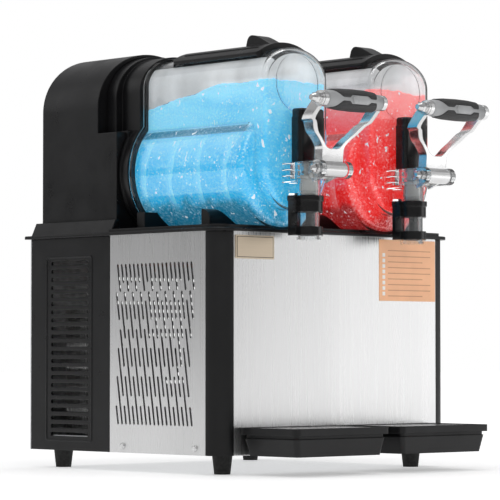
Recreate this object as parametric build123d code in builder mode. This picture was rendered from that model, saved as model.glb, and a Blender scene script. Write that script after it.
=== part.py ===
from build123d import *
import os
from math import cos, radians, sin, sqrt, tan

# Countertop slush machine with two side-by-side freezing bowls.
# Frame: millimetres, +Z up, the front faces -Y, the origin is on the counter
# under the middle of the machine.

os.makedirs("parts", exist_ok=True)

# ---------------------------------------------------------------- sizes
# Cabinet
foot_height = 22
cabinet_width = 380
cabinet_depth = 339
cabinet_height = 255
front_y = -112              # outer face of the front panel
sheet = 1.5                 # stainless and painted sheet
moulding = 2.5              # plastic covers and vent panels
post_radius = 22.5
post_wall = 3
stainless_depth = 168.2     # length of the slotted stainless side panel
assembly_gap = 0.3          # between pieces that are only placed together
pan_wall = 2
pan_flange_height = 18

# Top deck
lip_height = 4
lip_overhang = 6
deck_front_overhang = 5
deck_rear_overhang = 6
deck_corner = 26
ridge_height = 4
ridge_width = 6
ridge_inset = 8
coaming_height = 16
coaming_flare = 8
coaming_start = 195         # behind the front panel
cradle_height = 24
cradle_length = 14
cradle_places = (56, 170)   # behind the front panel
cradle_inner = 30
cradle_outer = 74

# Bowls
drum_radius = 72
bowl_wall = 3
drum_rounding = 11
rim_lip = 6
rim_thickness = 4
module_gap = 16             # between the two bowls' rims
rim_y = front_y + 187
drum_front_y = front_y - 3
nose_front_y = front_y - 20
neck_half_width = 51
neck_shoulder = 175         # height above the deck where the neck's arch springs
neck_rise = 35
nose_rounding = 7
disc_radius = 27.5
fill_half_width = 33
fill_start = 8
fill_end = 145
seal_thickness = 1

# Rear covers and bulkheads
cover_gap = 3
cover_shoulder = 152
cover_rise = 70
cover_low_front = 202       # all four measured from the front panel
cover_high_front = 237
collar_low_front = 198
collar_high_front = 220
cover_rear = 342
cover_step = 121            # height of the shelf above the deck
cover_step_rounding = 9
collar_step_rounding = 7
collar_half_width = 70
collar_shoulder = 162
collar_rise = 56
collar_depth = 6            # behind the rear cover's front
seat_half_width = 60
seat_shoulder = 169
seat_rise = 46
seat_margin = 1.5           # round the bowl's rim

# Freezing cylinder, auger and drive
evaporator_radius = 45
evaporator_front = 24
evaporator_flange = 58
evaporator_wall = 2
hub_wall = 6
shaft_radius = 6
shaft_front = 8
running_clearance = 0.05
seal_radius = 11
auger_clearance = 2
auger_pitch = 47
auger_start = 14
auger_end = 178
auger_land = 4
auger_hub_radius = 14
spoke_length = 7
spoke_width = 12
ring_wall = 6
flight_bite = 1.7           # how far the flight's end sinks into its ring
gearbox_width = 64
gearbox_front = 245
gearbox_length = 50
gearbox_height = 80
motor_radius = 28
motor_length = 40

# Tap
tube_to_nose = 5.9          # between the spout tube and the bowl's nose
nozzle_z = -13              # the tap's heights are measured from the deck's top
bracket_low_z = -8.2
bracket_low_top_z = 1.9
bracket_high_z = 18.6
bracket_top_z = 37.4
spout_top_z = 75
pivot_z = 66
pivot_reach = 38.2          # both in front of the spout's axis
grip_reach = 69.6
grip_z = 142
spout_bore = 10
tube_radius = 12.5
body_radius = 14
passage_z = 46
passage_height = 11
passage_width = 22
ear_inner = 17.8
ear_thickness = 6.7
ear_radius = 10
barrel_radius = 8.8
pin_radius = 4
lever_pin = 19              # from the handle's pivot to the plunger's cross pin
lever_pin_radius = 3
handle_swing = 40
plunger_clearance = 0.3
rod_radius = 3.6
cover_block_width = 40
cover_block_depth = 19
cover_block_height = 62.5
bracket_half_width = 22
grip_half_length = 43.3
grip_radius = 13
grip_end_radius = 9.6
eyelet_thickness = 6
eyelet_radius = 9
grip_bolt_radius = 3
spring_wire = 1.4
spring_radius = 5.2

# Lid
lid_half_width = 42
lid_length = 152
lid_rise = 7
lid_wall = 3
skirt_depth = 26
skirt_gap = 1
fin_height = 13
fin_width = 22

# Drip trays
tray_gap = 18.2
tray_width = 150.9
tray_reach = 94.4
tray_height = 32
tray_rim = 8
tray_wall = 2.5
tray_taper = 5
tab_width = 30
tab_height = 4
tab_clearance = 0.5
grille_thickness = 2

# ---------------------------------------------------------------- places
half_width = cabinet_width / 2
rear_y = front_y + cabinet_depth
cabinet_z = foot_height
cabinet_top = foot_height + cabinet_height
deck_z = cabinet_top + lip_height
axis_z = deck_z + drum_radius
rim_radius = drum_radius + rim_lip
module_x = rim_radius + module_gap / 2
modules = {"left": -module_x, "right": module_x}
cover_half_width = module_x - cover_gap / 2
neck_spring_z = deck_z + neck_shoulder
neck_top_z = neck_spring_z + neck_rise
cover_spring_z = deck_z + cover_shoulder
cover_top_z = cover_spring_z + cover_rise
nozzle = deck_z + nozzle_z
spout_top = deck_z + spout_top_z
pivot = deck_z + pivot_z
grip_axis = deck_z + grip_z
auger_radius = drum_radius - bowl_wall - auger_clearance - 0.5
auger_bore = evaporator_radius + auger_clearance
lever_rest = handle_swing / 2
lever_drop = lever_pin * tan(radians(lever_rest))
spout_y = nose_front_y - tube_radius - tube_to_nose
pivot_y = spout_y - pivot_reach
grip_y = spout_y - grip_reach
lug_z = pivot - lever_drop
lug_y = pivot_y + lever_pin
plunger_lift = 2 * lever_drop
plunger_radius = spout_bore - plunger_clearance
stainless_end = front_y + post_radius + stainless_depth


# ---------------------------------------------------------------- helpers
def facing_front(x, y):
    """Upright plane whose normal points to the front; local axes are X and Z."""
    return Plane(origin=(x, y, 0), x_dir=(1, 0, 0), z_dir=(0, -1, 0))


def facing_right(x):
    """Upright plane whose normal points to +X; local axes are Y and Z."""
    return Plane(origin=(x, 0, 0), x_dir=(0, 1, 0), z_dir=(1, 0, 0))


def level(z, x=0, y=0):
    return Plane(origin=(x, y, z), x_dir=(1, 0, 0), z_dir=(0, 0, 1))


def save(piece, name):
    piece.part.label = name
    export_step(piece.part, f"parts/{name}.step")


def arch_face(plane, half, base_z, spring_z, rise):
    """Straight sides under half an ellipse."""
    with BuildSketch(plane) as face:
        with BuildLine():
            top = EllipticalCenterArc((0, spring_z), half, rise, 0, arc_size=180)
            Polyline(top @ 1, (-half, base_z), (half, base_z), top @ 0)
        make_face()
    return face.sketch


def keyhole_face(plane, radius, half, spring_z, rise, grow=0):
    """The bowl's outline: a round drum with an arched neck above it."""
    with BuildSketch(plane) as face:
        with Locations((0, axis_z)):
            Circle(radius + grow)
        with BuildLine():
            top = EllipticalCenterArc((0, spring_z), half + grow, rise + grow, 0, arc_size=180)
            Polyline(top @ 1, (-half - grow, axis_z), (half + grow, axis_z), top @ 0)
        make_face()
    return face.sketch


def box_between(low, high):
    """A plain block from its two opposite corners."""
    wide, deep, tall = [b - a for a, b in zip(low, high)]
    middle_x = (low[0] + high[0]) / 2
    middle_y = (low[1] + high[1]) / 2
    with BuildPart() as block:
        with BuildSketch(level(low[2], middle_x, middle_y)):
            Rectangle(wide, deep)
        extrude(amount=tall)
    return block.part


# ---------------------------------------------------------------- cabinet
pan_outer_x = half_width - moulding - 0.2
pan_front = front_y + 4
foot_inset = 34
foot_front_inset = 31.5
foot_rear_inset = 21
foot_places = [
    (x, y)
    for x in (-half_width + foot_inset, half_width - foot_inset)
    for y in (front_y + foot_front_inset, rear_y - foot_rear_inset)
]
foot_top_radius = 11.8
foot_bottom_radius = 9.3
foot_stud_radius = 3
foot_stud_length = 9
screw_radius = 2
screw_clearance = 0.2
screw_head_radius = 4
screw_head_height = 2.2
screw_length = 7
screw_z = cabinet_z + 8
screw_ys = (front_y + 40.5, front_y + 166.5)
tab_z = cabinet_z + 22
tray_centres = [s * (tray_gap / 2 + tray_width / 2) for s in (-1, 1)]
tab_offsets = (-45, 45)


def make_base_pan():
    depth = rear_y - sheet - pan_front
    notch_x = post_radius + 1
    notch_y = 31
    with BuildPart() as pan:
        with BuildSketch(level(cabinet_z, 0, pan_front + depth / 2)) as outline:
            Rectangle(2 * pan_outer_x, depth)
            with Locations(
                (pan_outer_x - notch_x / 2, -depth / 2 + notch_y / 2),
                (-pan_outer_x + notch_x / 2, -depth / 2 + notch_y / 2),
            ):
                Rectangle(notch_x, notch_y, mode=Mode.SUBTRACT)
        extrude(amount=pan_flange_height)
        with BuildSketch(level(cabinet_z + pan_wall)):
            add(outline.sketch.moved(Location((0, 0, -cabinet_z))))
            offset(amount=-pan_wall, kind=Kind.INTERSECTION)
        extrude(amount=pan_flange_height, mode=Mode.SUBTRACT)
        with BuildSketch(level(cabinet_z)):
            with Locations(*foot_places):
                Circle(foot_stud_radius + screw_clearance)
        extrude(amount=pan_wall, mode=Mode.SUBTRACT)
        with BuildSketch(facing_right(-half_width)):
            with Locations(*[(y, screw_z) for y in screw_ys]):
                Circle(screw_radius + screw_clearance)
        extrude(amount=cabinet_width, mode=Mode.SUBTRACT)
    save(pan, "base_pan")


def make_feet():
    with BuildPart() as feet:
        for x, y in foot_places:
            with BuildSketch(Plane(origin=(x, y, 0))):
                Circle(foot_bottom_radius)
            with BuildSketch(Plane(origin=(x, y, foot_height))):
                Circle(foot_top_radius)
            loft()
        with BuildSketch(level(foot_height)):
            with Locations(*foot_places):
                Circle(foot_stud_radius)
        extrude(amount=foot_stud_length)
    save(feet, "feet")


def make_front_panel():
    panel_half = half_width - post_radius
    with BuildPart() as panel:
        with BuildSketch(facing_front(0, front_y + sheet)):
            with Locations((0, cabinet_z + cabinet_height / 2)):
                Rectangle(2 * panel_half - 2 * assembly_gap, cabinet_height)
            slots = [(x + dx, tab_z) for x in tray_centres for dx in tab_offsets]
            with Locations(*slots):
                Rectangle(
                    tab_width + 2 * tab_clearance,
                    tab_height + 2 * tab_clearance,
                    mode=Mode.SUBTRACT,
                )
        extrude(amount=sheet)
    save(panel, "front_panel")


def make_corner_posts():
    rib = 1.6
    rib_length = 12
    rib_foot = 1.8
    for side, sign in (("left", -1), ("right", 1)):
        centre = (sign * (half_width - post_radius), front_y + post_radius)
        with BuildPart() as post:
            with BuildSketch(level(cabinet_z, *centre)):
                Circle(post_radius)
                Circle(post_radius - post_wall, mode=Mode.SUBTRACT)
                with Locations((sign * post_radius / 2, -post_radius / 2)):
                    Rectangle(post_radius, post_radius, mode=Mode.INTERSECT)
                # ribs behind the two panels' edges, each on a short foot
                with Locations((-sign * 5, -post_radius + sheet + 1.2)):
                    Rectangle(rib_length, rib)
                with Locations((sign * (post_radius - sheet - 1.4), 5)):
                    Rectangle(rib, rib_length)
                with Locations((sign * rib_foot / 2, -post_radius + rib)):
                    Rectangle(rib_foot, 1.5 * rib)
                with Locations((sign * (post_radius - rib), -rib_foot / 2)):
                    Rectangle(1.5 * rib, rib_foot)
            extrude(amount=cabinet_height)
        save(post, f"{side}_corner_post")


def slot_runs():
    """Lower and upper ends of the slots in the two kinds of column, bottom up."""
    gap = 11
    lengths = (22, 32.5, 44, 56.5)
    orders = ((0, 3, 2, 1), (3, 2, 1, 0))
    runs = []
    for order in orders:
        z = 0
        column = []
        for i in order:
            column.append((z, z + lengths[i]))
            z += lengths[i] + gap
        runs.append(column)
    return runs


def rocker_windows():
    """The holes that the three rockers sit in, in local Y and Z."""
    with BuildSketch() as windows:
        with Locations(*[(control_y + dy, control_z) for dy in rocker_names.values()]):
            Rectangle(rocker_width + 2 * rocker_gap, rocker_length + 2 * rocker_gap)
    return windows.sketch


def make_side_panels():
    slot_width = 3
    slant_angle = 9.2
    slant = tan(radians(slant_angle))
    pitch = 7.2
    band = (front_y + 40, front_y + 182)
    base_z = cabinet_z + 33
    pattern_height = slot_runs()[0][-1][1]
    control_limit = {"left": cabinet_top, "right": control_z - control_height / 2 - 6}
    for side, sign in (("left", -1), ("right", 1)):
        outer = sign * half_width
        with BuildPart() as panel:
            with BuildSketch(facing_right(min(outer, outer - sign * sheet))):
                with Locations((front_y + post_radius + stainless_depth / 2,
                                cabinet_z + cabinet_height / 2)):
                    Rectangle(stainless_depth - 2 * assembly_gap, cabinet_height)
                for column in range(25):
                    head_y = band[0] + column * pitch
                    for low, high in slot_runs()[(column + 1) % 2]:
                        start = (head_y - (pattern_height - low) * slant, base_z + low)
                        end = (head_y - (pattern_height - high) * slant, base_z + high)
                        inside = band[0] <= start[0] and end[0] <= band[1]
                        if inside and end[1] < control_limit[side]:
                            middle = ((start[0] + end[0]) / 2, (start[1] + end[1]) / 2)
                            length = sqrt((end[0] - start[0]) ** 2 + (high - low) ** 2)
                            with Locations(Location((*middle, 0), (0, 0, 90 - slant_angle))):
                                SlotOverall(length, slot_width, mode=Mode.SUBTRACT)
                with Locations(*[(y, screw_z) for y in screw_ys]):
                    Circle(screw_radius + screw_clearance, mode=Mode.SUBTRACT)
                if side == "right":
                    add(rocker_windows(), mode=Mode.SUBTRACT)
            extrude(amount=sheet)
        save(panel, f"{side}_side_panel")


def make_vent_panels():
    start = stainless_end
    length = rear_y - start
    middle = start + length / 2
    slot_count = 22
    slot_pitch = 9.78
    slot_length = 70
    slot_height = 4.8
    slot_middle_z = cabinet_z + 122
    frame_length = 87
    frame_height = 222
    frame_line = 2
    for side, sign in (("left", -1), ("right", 1)):
        outer = sign * half_width
        with BuildPart() as panel:
            with BuildSketch(facing_right(min(outer, outer - sign * moulding))):
                with Locations((middle, cabinet_z + cabinet_height / 2)):
                    Rectangle(length - 2 * assembly_gap, cabinet_height)
                with Locations((middle + 1, slot_middle_z)):
                    with GridLocations(0, slot_pitch, 1, slot_count):
                        SlotOverall(slot_length, slot_height, mode=Mode.SUBTRACT)
            extrude(amount=moulding)
            with BuildSketch(facing_right(outer)):
                with Locations((middle + 2, slot_middle_z)):
                    RectangleRounded(frame_length, frame_height, 4)
                    RectangleRounded(
                        frame_length - 2 * frame_line,
                        frame_height - 2 * frame_line,
                        3,
                        mode=Mode.SUBTRACT,
                    )
            extrude(amount=sign * 0.7)
        save(panel, f"{side}_vent_panel")


inlet_x = -120
inlet_z = cabinet_z + 45
inlet_width = 27
inlet_height = 20


def make_rear_panel():
    slot_length = 60
    slot_height = 4
    column_pitch = 70
    row_pitch = 10
    fit = 0.4
    with BuildPart() as panel:
        with BuildSketch(facing_front(0, rear_y + sheet)):
            with Locations((0, cabinet_z + cabinet_height / 2)):
                Rectangle(cabinet_width, cabinet_height)
            with Locations((30, cabinet_z + 145)):
                with GridLocations(column_pitch, row_pitch, 3, 14):
                    SlotOverall(slot_length, slot_height, mode=Mode.SUBTRACT)
            with Locations((inlet_x, inlet_z)):
                Rectangle(inlet_width + fit, inlet_height + fit, mode=Mode.SUBTRACT)
        extrude(amount=sheet)
    save(panel, "rear_panel")


def make_screws():
    with BuildPart() as screws:
        for sign in (-1, 1):
            for y in screw_ys:
                face = Plane(
                    origin=(sign * half_width, y, screw_z),
                    x_dir=(0, 1, 0),
                    z_dir=(sign, 0, 0),
                )
                with BuildSketch(face):
                    Circle(screw_head_radius)
                extrude(amount=screw_head_height, taper=20)
                with BuildSketch(face):
                    Circle(screw_radius)
                extrude(amount=-screw_length)
    save(screws, "panel_screws")


# ---------------------------------------------------------------- top deck
line_hole_radius = 7
line_y = front_y + 228


def make_top_deck():
    deck_half = half_width + lip_overhang
    deck_front = front_y - deck_front_overhang
    deck_rear = rear_y + deck_rear_overhang
    depth = deck_rear - deck_front
    middle_y = (deck_front + deck_rear) / 2
    coaming_inner = cover_half_width + module_x + 1
    coaming_outer = deck_half - 10
    with BuildPart() as deck:
        with BuildSketch(level(cabinet_top, 0, middle_y)):
            RectangleRounded(2 * deck_half, depth, deck_corner)
            with Locations((0, depth / 4)):
                Rectangle(2 * deck_half, depth / 2)
        extrude(amount=lip_height)
        fillet(deck.edges().group_by(Axis.Z)[-1], 1.2)
        with BuildSketch(level(deck_z, 0, middle_y)):
            RectangleRounded(
                2 * (deck_half - ridge_inset),
                depth - 2 * ridge_inset,
                deck_corner - ridge_inset,
            )
            RectangleRounded(
                2 * (deck_half - ridge_inset - ridge_width),
                depth - 2 * (ridge_inset + ridge_width),
                deck_corner - ridge_inset - ridge_width,
                mode=Mode.SUBTRACT,
            )
            with Locations((0, depth / 2)):
                Rectangle(2 * deck_half, 2 * (deck_rear - coaming_start - front_y),
                          mode=Mode.SUBTRACT)
        extrude(amount=ridge_height)
        for x in modules.values():
            for place in cradle_places:
                with BuildSketch(facing_front(x, front_y + place + cradle_length / 2)):
                    for sign in (-1, 1):
                        centre_x = sign * (cradle_inner + cradle_outer) / 2
                        with Locations((centre_x, deck_z + cradle_height / 2 - 1)):
                            Rectangle(cradle_outer - cradle_inner, cradle_height + 2)
                extrude(amount=cradle_length)
        for x in modules.values():
            with BuildSketch(facing_front(x, rim_y)):
                with Locations((0, axis_z)):
                    Circle(drum_radius + assembly_gap)
            extrude(amount=rim_y - drum_front_y + 12, mode=Mode.SUBTRACT)
        for sign in (-1, 1):
            with BuildSketch(facing_front(0, deck_rear)):
                with BuildLine():
                    Polyline(
                        (sign * coaming_inner, deck_z - 1),
                        (sign * coaming_outer, deck_z - 1),
                        (sign * (coaming_outer - coaming_flare), deck_z + coaming_height),
                        (sign * coaming_inner, deck_z + coaming_height),
                        close=True,
                    )
                make_face()
            extrude(amount=deck_rear - coaming_start - front_y)
        coaming_ends = deck.edges().filter_by(Axis.X).group_by(Axis.Z)[-1].group_by(Axis.Y)[0]
        fillet(coaming_ends, coaming_height - 3)
        rear_wall = deck_rear - cover_rear - front_y - 0.5
        with BuildSketch(level(deck_z - 1, 0, deck_rear - rear_wall / 2)):
            Rectangle(2 * (coaming_outer - coaming_flare), rear_wall)
        extrude(amount=coaming_height + 1)
        with BuildSketch(level(cabinet_top)):
            with Locations(*[(x, line_y) for x in modules.values()]):
                Circle(line_hole_radius)
        extrude(amount=lip_height, mode=Mode.SUBTRACT)
    save(deck, "top_deck")


# ---------------------------------------------------------------- bowls
def bowl_form(x, inset):
    """The drum, neck and nose of a bowl, each face moved in by inset."""
    with BuildPart() as drum:
        with BuildSketch(facing_front(x, rim_y)):
            with Locations((0, axis_z)):
                Circle(drum_radius - inset)
        extrude(amount=rim_y - drum_front_y - inset)
        front_edge = drum.edges().filter_by(GeomType.CIRCLE).sort_by(Axis.Y)[0]
        fillet(front_edge, drum_rounding - inset)
    half = neck_half_width - inset
    with BuildPart() as nose:
        with BuildSketch(facing_front(x, rim_y)):
            with BuildLine():
                top = EllipticalCenterArc((0, neck_spring_z), half, neck_rise - inset, 0, arc_size=180)
                bottom = CenterArc((0, axis_z), half, 180, 180)
                Line(top @ 1, bottom @ 0)
                Line(bottom @ 1, top @ 0)
            make_face()
        extrude(amount=rim_y - nose_front_y - inset)
        fillet(nose.faces().sort_by(Axis.Y)[0].edges(), nose_rounding - inset)
    with BuildPart() as form:
        add(drum.part)
        add(nose.part)
    return form.part


def make_bowl(side, x):
    ear_outer = ear_inner + ear_thickness
    duct_low = deck_z + passage_z - passage_height / 2 - bowl_wall
    duct_high = duct_low + passage_height + 2 * bowl_wall
    duct_half = passage_width / 2 + bowl_wall
    bracket_top = deck_z + bracket_top_z
    web_low = pivot - ear_radius
    with BuildPart() as bowl:
        add(bowl_form(x, 0))
        # seating rim, flat underneath where it stands on the deck
        rim = keyhole_face(
            facing_front(x, rim_y), rim_radius, neck_half_width + 4, neck_spring_z, neck_rise + 3
        )
        extrude(rim, amount=rim_thickness)
        # pressed rings on the nose
        with BuildSketch(facing_front(x, nose_front_y)):
            with Locations((0, neck_spring_z - 6)):
                Circle(disc_radius)
                Circle(disc_radius - 1.6, mode=Mode.SUBTRACT)
                Circle(disc_radius + 6.6)
                Circle(disc_radius + 5, mode=Mode.SUBTRACT)
        extrude(amount=0.8)
        # spout
        with BuildSketch(level(nozzle, x, spout_y)):
            Circle(tube_radius)
        extrude(amount=spout_top - nozzle)
        with BuildSketch(level(nozzle, x, spout_y)):
            Circle(tube_radius + 1.4)
        extrude(amount=3)
        with BuildSketch(level(bracket_top + assembly_gap, x, spout_y)):
            Circle(body_radius)
        extrude(amount=spout_top - bracket_top - assembly_gap)
        add(box_between((x - duct_half, spout_y, duct_low),
                        (x + duct_half, nose_front_y + 1, duct_high)))
        # cooling fins and the ears that carry the handle
        for step in range(4):
            fin_z = web_low - 4 + 7 * step
            add(box_between((x - ear_outer, spout_y + 4, fin_z),
                            (x + ear_outer, nose_front_y + 1, fin_z + 1.4)))
        add(box_between((x - ear_outer, spout_y - 3, web_low),
                        (x + ear_outer, spout_y + 5, spout_top)))
        for sign in (-1, 1):
            with BuildSketch(facing_right(x + sign * ear_inner)):
                with Locations((pivot_y, pivot)):
                    Circle(ear_radius)
                with Locations(((pivot_y + spout_y) / 2, (web_low + spout_top) / 2)):
                    Rectangle(spout_y - pivot_y, spout_top - web_low)
            extrude(amount=sign * ear_thickness)
        # hollow
        add(bowl_form(x, bowl_wall), mode=Mode.SUBTRACT)
        inner_rim = keyhole_face(
            facing_front(x, rim_y),
            drum_radius - bowl_wall,
            neck_half_width - bowl_wall,
            neck_spring_z,
            neck_rise - bowl_wall,
        )
        extrude(inner_rim, amount=bowl_wall, mode=Mode.SUBTRACT)
        with BuildSketch(level(nozzle, x, spout_y)):
            Circle(spout_bore)
        extrude(amount=spout_top - nozzle, mode=Mode.SUBTRACT)
        add(box_between(
            (x - passage_width / 2, spout_y, duct_low + bowl_wall),
            (x + passage_width / 2, nose_front_y + bowl_wall + 2, duct_high - bowl_wall),
        ), mode=Mode.SUBTRACT)
        # window for the plunger's lug
        add(box_between((x - 4.4, spout_y - body_radius - 4, lug_z - 3.5),
                        (x + 4.4, spout_y, spout_top)), mode=Mode.SUBTRACT)
        # pivot bores
        with BuildSketch(facing_right(x - ear_outer)):
            with Locations((pivot_y, pivot)):
                Circle(pin_radius + running_clearance)
        extrude(amount=2 * ear_outer, mode=Mode.SUBTRACT)
        # filling mouth in the top of the neck
        add(box_between(
            (x - fill_half_width, front_y + fill_start, neck_spring_z + 6),
            (x + fill_half_width, front_y + fill_end, neck_top_z + 5),
        ), mode=Mode.SUBTRACT)
        # flat under the rim
        add(box_between((x - module_x, rim_y - rim_thickness - 1, deck_z - 20),
                        (x + module_x, rim_y + 1, deck_z + assembly_gap)), mode=Mode.SUBTRACT)
    save(bowl, f"bowl_{side}")


def make_bowl_seals():
    with BuildPart() as seals:
        for x in modules.values():
            plane = facing_front(x, rim_y + seal_thickness)
            outer = keyhole_face(
                plane, rim_radius - 1, neck_half_width + 3, neck_spring_z, neck_rise + 2
            )
            inner = keyhole_face(
                plane, drum_radius - bowl_wall, neck_half_width - bowl_wall,
                neck_spring_z, neck_rise - bowl_wall,
            )
            extrude(outer, amount=seal_thickness)
            extrude(inner, amount=seal_thickness, mode=Mode.SUBTRACT)
            add(box_between((x - module_x + 1, rim_y - 1, deck_z - 20),
                            (x + module_x - 1, rim_y + 5, deck_z + assembly_gap)),
                mode=Mode.SUBTRACT)
    save(seals, "bowl_seals")


# ---------------------------------------------------------------- rear housing
def stepped_profile(x, half, low_front, high_front, rear, step_z, rounding, top_z):
    """Side outline whose upper part stands back from its lower part."""
    with BuildPart() as slab:
        with BuildSketch(facing_right(x - half)) as outline:
            with BuildLine():
                Polyline(
                    (low_front, deck_z),
                    (low_front, step_z),
                    (high_front, step_z),
                    (high_front, top_z),
                    (rear, top_z),
                    (rear, deck_z),
                    close=True,
                )
            make_face()
            corners = outline.vertices().filter_by(lambda v: abs(v.Z - step_z) < 0.1)
            fillet(corners, rounding)
        extrude(amount=2 * half)
    return slab.part


def cover_form(x, inset):
    top = cover_top_z - inset
    half = cover_half_width - inset
    with BuildPart() as form:
        arch = arch_face(facing_front(x, front_y + cover_rear - inset), half, deck_z,
                         cover_spring_z, cover_rise - inset)
        extrude(arch, amount=cover_rear - cover_low_front - 2 * inset)
        add(
            stepped_profile(
                x, half + 5, front_y + cover_low_front + inset,
                front_y + cover_high_front + inset, front_y + cover_rear - inset,
                deck_z + cover_step - inset, cover_step_rounding, top + 10,
            ),
            mode=Mode.INTERSECT,
        )
    return form.part


def make_rear_cover(side, x):
    collar_radius = cover_half_width - moulding
    with BuildPart() as cover:
        add(cover_form(x, 0))
        add(cover_form(x, moulding), mode=Mode.SUBTRACT)
        opening = keyhole_face(
            facing_front(x, front_y + cover_high_front + 10),
            collar_radius, collar_half_width, deck_z + collar_shoulder, collar_rise, assembly_gap,
        )
        extrude(opening, amount=cover_high_front - cover_low_front + 20, mode=Mode.SUBTRACT)
    save(cover, f"rear_cover_{side}")


def collar_form(x, radius, rear):
    with BuildPart() as form:
        outline = keyhole_face(
            facing_front(x, front_y + rear), radius, collar_half_width,
            deck_z + collar_shoulder, collar_rise,
        )
        extrude(outline, amount=rear - collar_low_front)
        add(
            stepped_profile(
                x, radius + 5, front_y + collar_low_front, front_y + collar_high_front,
                front_y + rear, deck_z + cover_step + 2, collar_step_rounding, cover_top_z,
            ),
            mode=Mode.INTERSECT,
        )
    return form.part


def make_bulkhead(side, x):
    collar_radius = cover_half_width - moulding - 0.5
    seat_front = rim_y + seal_thickness - front_y
    collar_rear = cover_high_front + collar_depth
    seat_radius = rim_radius + seat_margin
    with BuildPart() as bulkhead:
        add(collar_form(x, collar_radius, collar_rear))
        seat = keyhole_face(facing_front(x, front_y + collar_high_front + 1),
                            seat_radius, seat_half_width, deck_z + seat_shoulder, seat_rise)
        extrude(seat, amount=collar_high_front + 1 - seat_front)
        add(box_between((x - module_x, rim_y - 5, deck_z - 20),
                        (x + module_x, front_y + collar_rear + 5, deck_z)),
            mode=Mode.SUBTRACT)
        hollow = keyhole_face(facing_front(x, front_y + collar_rear),
                              seat_radius - moulding, seat_half_width - moulding,
                              deck_z + seat_shoulder, seat_rise - moulding)
        extrude(hollow, amount=collar_rear - seat_front - moulding, mode=Mode.SUBTRACT)
        add(box_between((x - 40, rim_y + 5 + moulding, deck_z - 1),
                        (x + 40, front_y + collar_rear + 5, deck_z + 12)), mode=Mode.SUBTRACT)
        with BuildSketch(facing_front(x, rim_y + 10)):
            with Locations((0, axis_z)):
                Circle(evaporator_radius + assembly_gap)
        extrude(amount=20, mode=Mode.SUBTRACT)
    save(bulkhead, f"bulkhead_{side}")


def make_evaporator(side, x):
    flange_face = rim_y + seal_thickness + moulding
    front = front_y + evaporator_front
    with BuildPart() as evaporator:
        with BuildSketch(facing_front(x, flange_face + 3)):
            with Locations((0, axis_z)):
                Circle(evaporator_flange)
        extrude(amount=3)
        with BuildSketch(facing_front(x, flange_face)):
            with Locations((0, axis_z)):
                Circle(evaporator_radius)
        extrude(amount=flange_face - front)
        fillet(evaporator.edges().filter_by(GeomType.CIRCLE).sort_by(Axis.Y)[0], 4)
        with BuildSketch(facing_front(x, flange_face + 3)):
            with Locations((0, axis_z)):
                Circle(evaporator_radius - evaporator_wall)
        extrude(amount=flange_face + 3 - front - hub_wall, mode=Mode.SUBTRACT)
        with BuildSketch(facing_front(x, front + hub_wall)):
            with Locations((0, axis_z)):
                Circle(seal_radius + running_clearance)
        extrude(amount=hub_wall, mode=Mode.SUBTRACT)
    save(evaporator, f"evaporator_{side}")


def make_shaft_seals():
    front = front_y + evaporator_front
    with BuildPart() as seals:
        for x in modules.values():
            with BuildSketch(facing_front(x, front + hub_wall)):
                with Locations((0, axis_z)):
                    Circle(seal_radius)
                    Circle(shaft_radius + running_clearance, mode=Mode.SUBTRACT)
            extrude(amount=hub_wall)
    save(seals, "shaft_seals")


def make_gearmotor(side, x):
    front = front_y + gearbox_front
    half = gearbox_width / 2
    with BuildPart() as gearmotor:
        add(box_between((x - half, front, axis_z - gearbox_height / 2),
                        (x + half, front + gearbox_length, axis_z + gearbox_height / 2)))
        fillet(gearmotor.edges().filter_by(Axis.Y), 8)
        with BuildSketch(facing_front(x, front)):
            with Locations((0, axis_z)):
                Circle(16)
        extrude(amount=5)
        with BuildSketch(facing_front(x, front + gearbox_length)):
            with Locations((0, axis_z)):
                Circle(motor_radius)
        extrude(amount=-motor_length)
        add(box_between((x - half + 9, front + 5, deck_z),
                        (x + half - 9, front + gearbox_length - 5, axis_z - 30)))
        add(box_between((x - half, front + 2, deck_z),
                        (x + half, front + gearbox_length - 2, deck_z + 3)))
        with BuildSketch(facing_front(x, front + gearbox_length - 10)):
            with Locations((0, axis_z)):
                Circle(shaft_radius + running_clearance)
        extrude(amount=gearbox_length, mode=Mode.SUBTRACT)
    save(gearmotor, f"gearmotor_{side}")


def make_drive_shaft(side, x):
    with BuildPart() as shaft:
        with BuildSketch(facing_front(x, front_y + gearbox_front + gearbox_length - 12)):
            with Locations((0, axis_z)):
                Circle(shaft_radius)
        extrude(amount=gearbox_front + gearbox_length - 12 - shaft_front)
        chamfer(shaft.edges().filter_by(GeomType.CIRCLE), 0.8)
    save(shaft, f"drive_shaft_{side}")


def make_auger(side, x):
    """An open helical flight carried at the front by a three-spoked ring."""
    start = front_y + auger_start
    length = auger_end - auger_start
    flight_middle = (auger_radius + auger_bore) / 2
    ring_front = start + spoke_length / 2
    with BuildPart() as auger:
        with BuildLine() as path:
            Helix(
                auger_pitch,
                length - 2 * auger_land + flight_bite,
                flight_middle,
                center=(x, start + length - auger_land, axis_z),
                direction=(0, -1, 0),
            )
        first = path.line @ 0
        outward = Vector(first.X - x, 0, first.Z - axis_z)
        with BuildSketch(Plane(origin=first, x_dir=outward, z_dir=path.line % 0)):
            Rectangle(auger_radius - auger_bore, auger_land)
        sweep(is_frenet=True)
        with BuildSketch(facing_front(x, ring_front)):
            with Locations((0, axis_z)):
                Circle(auger_radius - 1)
                Circle(auger_radius - 1 - ring_wall, mode=Mode.SUBTRACT)
                Circle(auger_hub_radius)
                with PolarLocations(auger_radius / 2, 3):
                    Rectangle(auger_radius - ring_wall / 2, spoke_width)
        extrude(amount=spoke_length)
        with BuildSketch(facing_front(x, ring_front)):
            with Locations((0, axis_z)):
                Circle(shaft_radius + running_clearance)
        extrude(amount=spoke_length, mode=Mode.SUBTRACT)
    save(auger, f"auger_{side}")


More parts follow.
